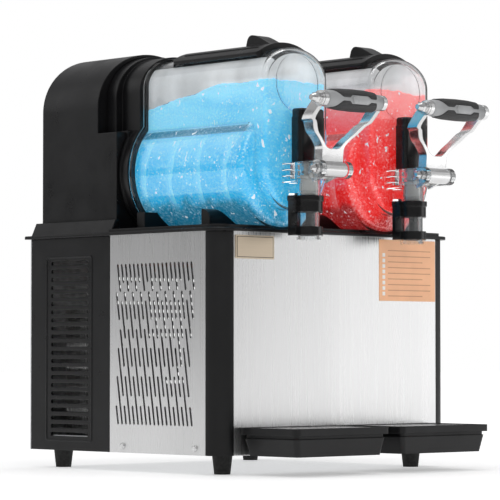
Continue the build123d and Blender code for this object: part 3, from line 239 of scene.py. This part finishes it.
def slush(name, deep, mid, pale, frost_tint, painted_glow):
    """Frozen drink against a clear wall: colour that lightens upwards, frost, flecks, painted highlights
    on bubbles, painted shade in the crease and at the foot, and a painted glow.
    """
    g = Graph(name, IOR=1.31, Subsurface_Weight=0.12, Subsurface_Scale=0.003,
              Specular_IOR_Level=0.5, Emission_Strength=painted_glow)
    height = g.axis("Z")
    depth = g.axis("Y")
    sweep = g.noise(11, 3, (1, 0.55, 1), 0.55, 0.7)
    rising = g.span(height, 0.0, 1.0, DRINK_FOOT_Z, DRINK_TOP_Z)
    shade = g.math("ADD", rising, g.span(sweep, -0.25, 0.25, 0.3, 0.7))
    colour = g.ramp(shade, [(0.0, deep), (0.22, mid), (0.50, mid), (0.90, pale)])
    in_drum = g.span(depth, 0.0, 1.0, DRUM_START_Y, DRUM_FULL_Y)
    # light edges that the turning flight leaves against the wall
    turn = g.math("ADD", g.math("MULTIPLY", depth, EDGES_PER_METRE), g.math("MULTIPLY", height, EDGE_LEAN))
    turn = g.math("ADD", turn, g.span(g.noise(20, 2), -0.05, 0.05, 0.3, 0.7))
    edge = g.span(g.math("FRACT", turn, 0.0), 0.75, 0.0, 0.0, 0.28)
    below = g.span(height, 1.0, 0.0, EDGE_LOW_Z, EDGE_HIGH_Z)
    ring = g.math("MULTIPLY", g.math("MULTIPLY", edge, in_drum), below)
    colour = g.mix(ring, colour, pale)
    # painted shade in the crease between drum and neck, and at the foot of the drum
    over = g.span(height, 0.0, 1.0, CREASE_LOW_Z, CREASE_LOW_Z + CREASE_BLUR)
    under = g.span(height, 1.0, 0.0, CREASE_HIGH_Z - CREASE_BLUR, CREASE_HIGH_Z)
    crease = g.math("MULTIPLY", over, under)
    uneven = g.math("ADD", height, g.span(g.noise(60, 3), -0.006, 0.006, 0.3, 0.7))
    foot = g.span(uneven, 0.85, 0.0, FOOT_LOW_Z, FOOT_HIGH_Z)
    shadow = g.math("MULTIPLY", g.math("MAXIMUM", g.math("MULTIPLY", crease, 0.95), foot), in_drum)
    colour = g.mix(shadow, colour, deep)
    frost = g.noise(360, 4, (1, 1, 1), 0.7)
    patches = g.span(g.noise(34, 3), 0.30, 0.95, 0.35, 0.65)
    frosted = g.math("MULTIPLY", g.span(frost, 0.0, 1.0, 0.50, 0.66), patches)
    colour = g.mix(g.math("MULTIPLY", frosted, 0.7), colour, frost_tint)
    flecks = g.span(g.noise(150, 2, (1, 1, 0.7), 0.5, 0.4), 0.0, 1.0, 0.665, 0.70)
    # bright dots at the centres of small cells are painted highlights on bubbles
    painted_bubble_glints = g.span(g.cells(210), 0.85, 0.0, 0.10, 0.22)
    sparse = g.span(g.noise(30, 2), 0.0, 1.0, 0.52, 0.60)
    flecks_and_glints = g.math("MAXIMUM", flecks, g.math("MULTIPLY", painted_bubble_glints, sparse))
    colour = g.mix(flecks_and_glints, colour, FLECK_AND_GLINT_WHITE)
    g.set("Base Color", colour)
    # the drink glows in its own colour: painted light that stands in for the light the clear wall keeps
    # from it
    g.set("Emission Color", colour)
    g.set("Roughness", g.span(g.noise(70, 4), 0.2, 0.45))
    slow = g.add("ShaderNodeBump", Height=g.noise(48, 4, (1, 1, 1), 0.6), Strength=0.6, Distance=0.004)
    g.bump(g.math("ADD", frost, flecks_and_glints), 0.6, 0.0012, slow.outputs["Normal"])
    return g.material


def icy_film(name):
    """Thin white ice that the clear wall shows through; it glows in its own colour, a painted light."""
    g = Graph(name, Alpha=0.55, Emission_Strength=0.42)
    haze = g.ramp(g.noise(26, 4, (1, 1, 0.35)), [(0.3, (0.62, 0.63, 0.64)), (0.7, (0.95, 0.96, 0.97))])
    g.set("Base Color", haze)
    # the glow takes the film's own colour: painted light that stands in for the light the clear wall holds
    # back
    g.set("Emission Color", haze)
    g.set("Roughness", g.span(g.noise(180, 4), 0.35, 0.6))
    g.bump(g.noise(300, 3), 0.3, 0.0005)
    return g.material


def dimpled_grip(name):
    g = Graph(name)
    dots = g.cells(640, randomness=0.0)
    dimple_depth_and_shade = g.span(dots, 0.0, 1.0, 0.25, 0.48)
    # the dimple hollows are painted darker: painted shade in the recesses
    g.set("Base Color", g.mix(dimple_depth_and_shade, (0.003, 0.003, 0.003), (0.026, 0.026, 0.027)))
    g.set("Roughness", g.span(g.noise(120, 3), 0.45, 0.62))
    g.bump(dimple_depth_and_shade, 0.8, 0.0006)
    return g.material


def printed_film(name, colour):
    g = Graph(name, Coat_Weight=0.4, Coat_Roughness=0.12)
    dark, light = spread(colour, 0.07)
    g.set("Base Color", g.ramp(g.noise(30, 4), [(0.3, dark), (0.7, light)]))
    g.set("Roughness", g.span(g.noise(400, 3), 0.34, 0.5))
    g.bump(g.noise(900, 2), 0.05, 0.0002)
    return g.material


black = moulded_plastic("satin_black_plastic", (0.0050, 0.0050, 0.0056), 0.32)
gloss_black = moulded_plastic("gloss_black_plastic", (0.0045, 0.0045, 0.005), 0.22, coat=0.3)
post_black = moulded_plastic("matt_black_extrusion", (0.0048, 0.0048, 0.0052), 0.36, 1800, 0.18)
tray_black = moulded_plastic("matt_black_moulding", (0.0050, 0.0050, 0.0055), 0.36, 1500, 0.22)
white_plastic = moulded_plastic("food_grade_white_plastic", (0.72, 0.72, 0.70), 0.4)
grip_grey = moulded_plastic("light_grey_grip_core", (0.30, 0.305, 0.31), 0.33, coat=0.2)
grip_band = moulded_plastic("pale_grey_grip_badge", (0.33, 0.335, 0.34), 0.30, coat=0.2)
stainless = brushed_metal("brushed_stainless_panel", grey(0.74), 0.28, band=0.06)
grille_steel = brushed_metal("brushed_stainless_grille", grey(0.70), 0.24, (1, 0.01, 1))
shaft_steel = brushed_metal("turned_steel", grey(0.55), 0.28, (0.05, 1, 1))
fin_aluminium = brushed_metal("mill_aluminium_fins", grey(0.72), 0.36, (1, 1, 0.05))
plate_metal = brushed_metal("warm_plate_metal", (0.62, 0.52, 0.40), 0.36, (0.01, 1, 1))
chrome = polished_chrome("polished_chrome")
clear = clear_plastic("clear_polycarbonate")
rubber_black = rubber("black_rubber")
zinc = spangled_zinc("zinc_coated_sheet")
motor_black = enamel("black_motor_enamel", (0.02, 0.02, 0.022))
copper_tube = copper("drawn_copper")
frost_film = icy_film("icy_film")
dimples = dimpled_grip("dimpled_grip_rubber")
label_film = printed_film("peach_label_film", (0.95, 0.50, 0.27))
label_marks = printed_film("pale_label_squares", (0.92, 0.88, 0.84))
label_ink = printed_film("label_rule_ink", (0.62, 0.29, 0.15))
frame_ink = printed_film("plate_border_ink", (0.03, 0.025, 0.02))
slush_blue = slush("blue_slush", deep=(0.000, 0.20, 0.36), mid=(0.010, 0.50, 0.86),
                   pale=(0.24, 0.72, 0.97), frost_tint=(0.55, 0.86, 1.0), painted_glow=0.55)
slush_red = slush("red_slush", deep=(0.40, 0.000, 0.002), mid=(1.0, 0.006, 0.004),
                  pale=(1.0, 0.25, 0.25), frost_tint=(1.0, 0.50, 0.50), painted_glow=0.55)

PAIRED_LOOKS = (
    (black, ("rear_cover", "bulkhead", "lid")),
    (gloss_black, ("spring_cover", "spout_bracket", "mode_switch")),
    (tray_black, ("drip_tray",)),
    (grille_steel, ("drip_grille",)),
    (shaft_steel, ("evaporator", "drive_shaft", "tap_spring")),
    (clear, ("bowl",)),
    (chrome, ("tap_yoke", "grip_bolt")),
    (white_plastic, ("auger", "tap_plunger")),
    (motor_black, ("gearmotor",)),
    (grip_grey, ("tap_grip",)),
)
SINGLE_LOOKS = (
    (black, ("top_deck", "left_vent_panel", "right_vent_panel", "power_inlet", "control_panel")),
    (gloss_black, ("power_switch",)),
    (post_black, ("left_corner_post", "right_corner_post")),
    (stainless, ("front_panel", "left_side_panel", "right_side_panel")),
    (zinc, ("rear_panel", "base_pan", "fan_motor")),
    (chrome, ("pivot_pins", "panel_screws")),
    (rubber_black, ("feet", "bowl_seals", "shaft_seals")),
    (white_plastic, ("fan_rotor",)),
    (motor_black, ("compressor",)),
    (fin_aluminium, ("condenser",)),
    (copper_tube, ("refrigerant_lines",)),
    (plate_metal, ("nameplate",)),
)


def wear(look, node_name):
    slots = nodes[node_name].data.materials
    if len(slots) == 0:
        slots.append(look)
    for index in range(len(slots)):
        slots[index] = look


for look, names in PAIRED_LOOKS:
    for name in names:
        for side in SIDES:
            wear(look, f"{name}_{side}")
for look, names in SINGLE_LOOKS:
    for name in names:
        wear(look, name)


# ---------------------------------------------------------------- mesh helpers
def piece(name, vertices, faces, look, body, slot, smooth=True):
    """A closed mesh that rides on a body and wears the given look; slot is not used."""
    mesh = bpy.data.meshes.new(name)
    mesh.from_pydata([tuple(v) for v in vertices], [], faces)
    mesh.materials.append(look)
    shape = bmesh.new()
    shape.from_mesh(mesh)
    bmesh.ops.recalc_face_normals(shape, faces=shape.faces)
    shape.to_mesh(mesh)
    shape.free()
    for polygon in mesh.polygons:
        polygon.use_smooth = smooth
    made = bpy.data.objects.new(name, mesh)
    bpy.context.scene.collection.objects.link(made)
    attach(made, body)
    return made


def rings(loops):
    """Joins equal rings of points into a tube, with a flat cap at each end."""
    count = len(loops[0])
    vertices = [point for loop in loops for point in loop]
    faces = []
    for row in range(len(loops) - 1):
        for i in range(count):
            j = (i + 1) % count
            here, there = row * count, (row + 1) * count
            faces.append((here + i, here + j, there + j, there + i))
    faces.append(tuple(range(count - 1, -1, -1)))
    faces.append(tuple((len(loops) - 1) * count + i for i in range(count)))
    return vertices, faces


# ---------------------------------------------------------------- slush
WALL_GAP = 0.4 * MM
NOSE_Y = -0.1286
DRUM_FRONT_Y = -0.1116
SLUSH_REAR_Y = 0.0738
DRUM_ROUNDING, NOSE_ROUNDING = 8 * MM, 4 * MM
NECK_HALF_WIDTH = 48 * MM
SURFACE_Z, SURFACE_FALL = 0.452, 0.020
FALL_START_Y, FALL_LENGTH = -0.06, 0.12
WAVE_SEEDS = {"left": 3.0, "right": 11.0}


def top_height(side, x, y):
    """The drink's wavy surface, lower towards the back."""
    seed = WAVE_SEEDS[side]
    slope = SURFACE_Z - SURFACE_FALL * max(0.0, (y - FALL_START_Y)) / FALL_LENGTH
    wave = 4.5 * MM * noise.noise(Vector((x * 22, y * 16, seed)))
    ripple = 1.8 * MM * noise.noise(Vector((x * 70, y * 60, seed + 5)))
    froth = 1.2 * MM * noise.noise(Vector((x * 260, y * 260, seed + 9)))
    return slope + wave + ripple + froth


def rounded_half(full, rounding, into):
    """Half width at a place that is this far into a rounded edge."""
    return full - rounding + sqrt(max(0, rounding ** 2 - (rounding - into) ** 2))


def slush_form(side, look):
    """Fills the bowl's inside up to a wavy top, with a bore that the auger turns in."""
    auger_low, auger_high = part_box(f"auger_{side}")
    middle_x = (auger_low.x + auger_high.x) / 2
    axis_z = (auger_low.z + auger_high.z) / 2
    sweep = (auger_high.x - auger_low.x) / 2 + WALL_GAP
    drum = sweep + 1.7 * MM
    neck = NECK_HALF_WIDTH - WALL_GAP
    bore_front = auger_low.y - 3.4 * MM
    steps = 176

    def outline(y):
        round_drum = 0.0
        if y > DRUM_FRONT_Y + DRUM_ROUNDING:
            round_drum = drum
        elif y >= DRUM_FRONT_Y:
            round_drum = rounded_half(drum, DRUM_ROUNDING, y - DRUM_FRONT_Y)
        half = neck
        if y < NOSE_Y + NOSE_ROUNDING:
            half = rounded_half(neck, NOSE_ROUNDING, y - NOSE_Y)
        loop = []
        for i in range(steps):
            angle = -pi / 2 + 2 * pi * i / steps
            up, across = sin(angle), cos(angle)
            reach = half if up <= 0 else min(half / max(abs(across), 1e-4), 0.2)
            reach = max(reach, round_drum)
            if up > 0.2:
                x = reach * across
                for _ in range(3):
                    ceiling = (top_height(side, middle_x + x, y) - axis_z) / up
                    x = min(reach, ceiling) * across
                reach = min(reach, ceiling)
            loop.append((middle_x + reach * across, y, axis_z + reach * up))
        return loop

    stations = [NOSE_Y + d * MM for d in (0, 0.3, 0.9, 2.0, 4.0, 8.0, 12.5)]
    stations += [DRUM_FRONT_Y + d * MM for d in (-0.01, 0, 0.4, 1.5, 4.0, 8.0)]
    count = 60
    first = stations[-1]
    stations += [first + (SLUSH_REAR_Y - first) * (i + 1) / count for i in range(count)]
    loops = [outline(y) for y in stations]

    def bore(y):
        return [(middle_x + sweep * cos(-pi / 2 + 2 * pi * i / steps), y,
                 axis_z + sweep * sin(-pi / 2 + 2 * pi * i / steps)) for i in range(steps)]

    loops += [bore(SLUSH_REAR_Y), bore(bore_front)]
    piece(f"slush_{side}", *rings(loops), look, "cabinet", "clear_plastic")


slush_form("left", slush_blue)
slush_form("right", slush_red)


def frost_form(side):
    """A thin icy film on the inside of the neck, from the drink up to the lid's skirt."""
    auger_low, auger_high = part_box(f"auger_{side}")
    middle_x = (auger_low.x + auger_high.x) / 2
    spring_z, rise, half = 0.456, 31.8 * MM, 47.85 * MM
    nose_y, rear_y = NOSE_Y - 0.2 * MM, 0.0725
    corner, thick, dip = NOSE_ROUNDING, 0.2 * MM, 1.2 * MM
    stations = [nose_y + d * MM for d in (0.0, 0.3, 1.0, 2.2, 4.0)]
    stations += [stations[-1] + (rear_y - stations[-1]) * i / 50 for i in range(1, 51)]

    def arch(x, shrink):
        return spring_z + (rise - shrink) * sqrt(max(0.0, 1 - (x / (half - shrink)) ** 2))

    for sign, name in ((-1, "left"), (1, "right")):
        loops = []
        for y in stations:
            depth = max(0.0, nose_y + corner - y)
            shrink = corner - sqrt(max(0.0, corner ** 2 - depth ** 2))
            foot = top_height(side, middle_x + sign * (half - shrink), y) - dip
            places = [(half - shrink) * cos(radians(a)) for a in range(0, 42, 3)]
            outer = [(half - shrink, foot)] + [(x, arch(x, shrink)) for x in places]
            inner = [(x - thick, z - thick) for x, z in reversed(outer)]
            loops.append([(middle_x + sign * x, y, z) for x, z in outer + inner])
        piece(f"frost_{side}_{name}", *rings(loops), frost_film, "cabinet", "clear_plastic")
    reach = half - corner
    across = [reach * (1 - 2 * i / 30) for i in range(31)]
    face = [(x, top_height(side, middle_x + x, nose_y) - dip) for x in across]
    face += [(-reach * cos(radians(a)), arch(reach * cos(radians(a)) * half / reach, 0) - corner)
             for a in range(0, 181, 6)]
    loops = [[(middle_x + x, y, z) for x, z in face] for y in (nose_y, nose_y + thick)]
    piece(f"frost_{side}_front", *rings(loops), frost_film, "cabinet", "clear_plastic")


for side in SIDES:
    frost_form(side)


# ---------------------------------------------------------------- labels
def slab(low, high, rounding):
    """A thin plate in X and Z with rounded corners."""
    corners = []
    middle = ((low[0] + high[0]) / 2, (low[2] + high[2]) / 2)
    half = ((high[0] - low[0]) / 2, (high[2] - low[2]) / 2)
    for quarter in range(4):
        sign_x = 1 if quarter in (0, 3) else -1
        sign_z = 1 if quarter in (0, 1) else -1
        for step in range(5):
            angle = quarter * pi / 2 + step * pi / 8
            corners.append((
                middle[0] + sign_x * (half[0] - rounding) + rounding * cos(angle),
                middle[1] + sign_z * (half[1] - rounding) + rounding * sin(angle),
            ))
    return rings([[(x, low[1], z) for x, z in corners], [(x, high[1], z) for x, z in corners]])


face_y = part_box("front_panel")[0].y


def flat_mark(name, x0, x1, z0, z1, out, look, rounding=0.4 * MM, proud=0.12 * MM):
    """A plate that starts this far out from the front panel and stands proud of that."""
    shape = slab((x0, face_y - out - proud, z0), (x1, face_y - out, z1), rounding)
    piece(name, *shape, look, "cabinet", "plate_metal", smooth=False)


plate_low, plate_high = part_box("nameplate")
plate_out = face_y - plate_low.y
for mark, inset, out, look in (
    ("nameplate_border", 1.6 * MM, 0.0, frame_ink),
    ("nameplate_field", 2.3 * MM, 0.1 * MM, plate_metal),
):
    flat_mark(mark, plate_low.x + inset, plate_high.x - inset, plate_low.z + inset, plate_high.z - inset,
              plate_out + out, look, 0.8 * MM)
LABEL_X, LABEL_Z = (0.069, 0.1665), (0.201, 0.2745)
MARK_OUT = 0.34 * MM
SQUARE_X, SQUARE_HEIGHT, SQUARE_PITCH = (0.0745, 0.0790), 0.0044, 0.0066
RULE_START, RULE_LONG, RULE_SHORT = 0.084, 0.074, 0.060
RULE_HEIGHT, RULE_PITCH = 0.0011, 0.0068
flat_mark("notice_label", *LABEL_X, *LABEL_Z, 0.02 * MM, label_film, 1.2 * MM, 0.3 * MM)
for row in range(8):
    z = 0.2075 + row * SQUARE_PITCH
    flat_mark(f"notice_square_{row}", *SQUARE_X, z, z + SQUARE_HEIGHT, MARK_OUT, label_marks)
for row in range(9):
    z = 0.2065 + row * RULE_PITCH
    length = RULE_LONG if row % 3 else RULE_SHORT
    flat_mark(f"notice_rule_{row}", RULE_START, RULE_START + length, z, z + RULE_HEIGHT, MARK_OUT,
              label_ink, 0.2 * MM, 0.08 * MM)


# ---------------------------------------------------------------- grips
PAD_LEFT, PAD_RIGHT = -37.5 * MM, 32.5 * MM
BADGE_LEFT, BADGE_RIGHT = -10.5 * MM, 17.5 * MM
BAND = 1.7 * MM
BADGE = 4.6 * MM
# place along the grip and radius there, in millimetres
GRIP_STATIONS = (
    (-43.3, 9.4), (-36.5, 10.2), (-21.6, 11.5), (0, 11.95),
    (16, 11.7), (31, 10.6), (37.5, 9.5), (43.3, 9.2),
)


def grip_radius(along):
    """Radius at a place along the grip, a little eased between the stations."""
    place = along / MM
    for (a, first), (b, second) in zip(GRIP_STATIONS, GRIP_STATIONS[1:]):
        if place <= b:
            share = max(0.0, (place - a) / (b - a))
            share = share * share * (3 - 2 * share) * 0.35 + share * 0.65
            return (first + (second - first) * share) * MM
    return GRIP_STATIONS[-1][1] * MM


def smooth_step(value, low, high):
    share = min(1.0, max(0.0, (value - low) / (high - low)))
    return share * share * (3 - 2 * share)


def dome(share):
    """Height from 0 to 1 of a quarter round, as its edge is left behind."""
    return sqrt(max(0.0, 1 - (1 - min(1.0, share)) ** 2))


def pad_edge(along):
    """Half height of the grey strip that shows between the two pads."""
    left = smooth_step(-along, 22 * MM, 37.5 * MM) * 11 * MM
    right = smooth_step(along, 29 * MM, 33 * MM) * 9 * MM
    badge = 0.0
    if BADGE_LEFT - 3 * MM < along < BADGE_RIGHT + 3 * MM:
        reach = min(along - BADGE_LEFT + 3 * MM, BADGE_RIGHT + 3 * MM - along)
        badge = min(1.0, reach / (4.5 * MM)) * (BADGE + 0.4 * MM - BAND)
    return BAND + max(left, right, badge)


def grip_point(centre, along, angle, out):
    """angle 0 faces the front, and positive angles go up."""
    radius = grip_radius(along) + out
    return (centre[0] + along, centre[1] - radius * cos(angle), centre[2] + radius * sin(angle))


def make_grip(side):
    low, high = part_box(f"tap_grip_{side}")
    centre = ((low.x + high.x) / 2, (low.y + high.y) / 2, (low.z + high.z) / 2)
    body = f"tap_handle_{side}"
    reach = (high.x - low.x) / 2
    steps = 64
    loops = []
    for i in range(81):
        along = -reach + 2 * reach * i / 80
        out = -0.8 * MM * (1 - dome((reach - abs(along)) / (1.2 * MM)))
        loops.append([grip_point(centre, along, 2 * pi * k / steps, out) for k in range(steps)])
    core = piece(f"grip_core_{side}", *rings(loops), grip_grey, body, "grip_grey")
    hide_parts(f"tap_grip_{side}")
    for name, sign in (("upper", 1), ("lower", -1)):
        make_pad(f"grip_pad_{name}_{side}", centre, body, sign)
    make_badge(side, centre, body)


def make_pad(name, centre, body, sign):
    """A raised dimpled inlay on the upper or lower half of the grip."""
    rows, columns = 84, 44
    outside, inside = [], []
    for i in range(rows + 1):
        along = PAD_LEFT + (PAD_RIGHT - PAD_LEFT) * i / rows
        radius = grip_radius(along)
        first = min(1.45, pad_edge(along) / radius)
        for k in range(columns + 1):
            share = k / columns
            angle = sign * (first + (pi - 2 * first) * share)
            width = (pi - 2 * first) * radius
            to_edge = min(share * width, (1 - share) * width, along - PAD_LEFT, PAD_RIGHT - along)
            rise = dome(to_edge / (1.3 * MM))
            outside.append(grip_point(centre, along, angle, (-0.35 + 1.25 * rise) * MM))
            inside.append(grip_point(centre, along, angle, -0.6 * MM))
    count = len(outside)
    wide = columns + 1
    faces = []
    for i in range(rows):
        for k in range(columns):
            a = i * wide + k
            faces.append((a, a + 1, a + wide + 1, a + wide))
            faces.append((count + a, count + a + wide, count + a + wide + 1, count + a + 1))
    border = list(range(columns)) + [i * wide + columns for i in range(rows)]
    border += [rows * wide + k for k in range(columns, 0, -1)] + [i * wide for i in range(rows, 0, -1)]
    for a, b in zip(border, border[1:] + border[:1]):
        faces.append((a, b, count + b, count + a))
    piece(name, outside + inside, faces, dimples, body, "grip_grey")


def make_badge(side, centre, body):
    """The blank elongated plate in the middle of the grip's front."""
    outline = (
        (BADGE_LEFT, 0), (BADGE_LEFT + 4 * MM, BADGE), (BADGE_RIGHT - 4 * MM, BADGE),
        (BADGE_RIGHT, 0), (BADGE_RIGHT - 4 * MM, -BADGE), (BADGE_LEFT + 4 * MM, -BADGE),
    )
    middle = (BADGE_LEFT + BADGE_RIGHT) / 2
    ring = []
    for (a, b), (c, d) in zip(outline, outline[1:] + outline[:1]):
        ring += [(a + (c - a) * k / 8, b + (d - b) * k / 8) for k in range(8)]
    loops = []
    for shrink, out in ((1.0, -0.5), (1.0, 0.55), (0.975, 0.85), (0.93, 0.98), (0.6, 1.0), (0.3, 1.0)):
        loop = []
        for along, up in ring:
            place = middle + (along - middle) * shrink
            radius = grip_radius(place)
            loop.append(grip_point(centre, place, up * shrink / radius, out * MM))
        loops.append(loop)
    piece(f"grip_badge_{side}", *rings(loops), grip_band, body, "grip_grey")


for side in SIDES:
    make_grip(side)


# ---------------------------------------------------------------- floor, lights, camera
def make_floor():
    """A pale floor that gets lighter away from the object, so that it meets the backdrop unseen."""
    g = Graph("pale_floor", Roughness=0.6, Emission_Strength=1.0, Specular_IOR_Level=0.2)
    g.set("Base Color", g.ramp(g.noise(2, 2), [(0.3, grey(0.90)), (0.7, grey(0.93))]))
    distance = g.add("ShaderNodeVectorMath", Vector=g.place())
    distance.operation = "LENGTH"
    level = g.span(distance.outputs["Value"], 0.0, 1.0, 0.45, 2.4)
    g.set("Emission Color", g.ramp(level, [(0.0, grey(0.40)), (1.0, grey(0.74))]))
    mesh = bpy.data.meshes.new("floor")
    reach = 14
    corners = [(-reach, -reach, 0), (reach, -reach, 0), (reach, reach, 0), (-reach, reach, 0)]
    mesh.from_pydata(corners, [], [(0, 1, 2, 3)])
    mesh.materials.append(g.material)
    floor = bpy.data.objects.new("floor", mesh)
    bpy.context.scene.collection.objects.link(floor)


def make_world():
    """White to the camera, and a softer grey gradient to everything else."""
    world = bpy.data.worlds.new("studio")
    world.use_nodes = True
    tree = world.node_tree
    tree.nodes.clear()
    output = tree.nodes.new("ShaderNodeOutputWorld")
    mix = tree.nodes.new("ShaderNodeMixShader")
    path = tree.nodes.new("ShaderNodeLightPath")
    seen = tree.nodes.new("ShaderNodeBackground")
    seen.inputs["Color"].default_value = (1, 1, 1, 1)
    seen.inputs["Strength"].default_value = 1.0
    light = tree.nodes.new("ShaderNodeBackground")
    light.inputs["Strength"].default_value = 0.75
    ramp = tree.nodes.new("ShaderNodeValToRGB")
    split = tree.nodes.new("ShaderNodeSeparateXYZ")
    where = tree.nodes.new("ShaderNodeTexCoord")
    tree.links.new(where.outputs["Generated"], split.inputs["Vector"])
    span = tree.nodes.new("ShaderNodeMapRange")
    span.inputs["From Min"].default_value = -1
    tree.links.new(split.outputs["Z"], span.inputs["Value"])
    tree.links.new(span.outputs["Result"], ramp.inputs["Fac"])
    stops = ((0.0, 0.45), (0.49, 0.20), (0.56, 0.29), (0.72, 0.55), (1.0, 0.6))
    while len(ramp.color_ramp.elements) < len(stops):
        ramp.color_ramp.elements.new(0.5)
    for element, (position, level) in zip(ramp.color_ramp.elements, stops):
        element.position = position
        element.color = (level, level, level * 1.01, 1)
    tree.links.new(ramp.outputs["Color"], light.inputs["Color"])
    tree.links.new(path.outputs["Is Camera Ray"], mix.inputs["Fac"])
    tree.links.new(light.outputs["Background"], mix.inputs[1])
    tree.links.new(seen.outputs["Background"], mix.inputs[2])
    tree.links.new(mix.outputs["Shader"], output.inputs["Surface"])
    bpy.context.scene.world = world


def softbox(name, place, aim, size, power):
    data = bpy.data.lights.new(name, "AREA")
    data.shape = "RECTANGLE"
    data.size, data.size_y = size
    data.energy = power
    light = bpy.data.objects.new(name, data)
    bpy.context.scene.collection.objects.link(light)
    light.location = place
    light.rotation_euler = (Vector(aim) - Vector(place)).to_track_quat("-Z", "Y").to_euler()


def make_camera():
    data = bpy.data.cameras.new("camera")
    data.sensor_width = 36
    data.lens = 193.13
    camera = bpy.data.objects.new("camera", data)
    bpy.context.scene.collection.objects.link(camera)
    camera.location = (-2.2314, -2.3455, 0.1358)
    camera.rotation_euler = (radians(92.25), 0, radians(-43.09))
    bpy.context.scene.camera = camera


make_floor()
make_world()
softbox("key", (2.35, -1.75, 1.2), (0.0, -0.1, 0.25), (1.6, 2.2), 4.2)
softbox("near", (1.0, -0.85, 0.32), (0.12, -0.11, 0.2), (0.6, 0.6), 0.72)
softbox("side", (-1.5, 1.7, 1.35), (-0.1, 0.0, 0.3), (1.2, 1.5), 3.6)
softbox("front", (-1.3, -2.2, 1.9), (0.0, 0.0, 0.3), (1.5, 1.0), 8)
softbox("top", (0.0, 0.1, 2.2), (0.0, 0.0, 0.3), (1.8, 1.2), 17)
make_camera()
bpy.context.scene.view_settings.view_transform = "Standard"
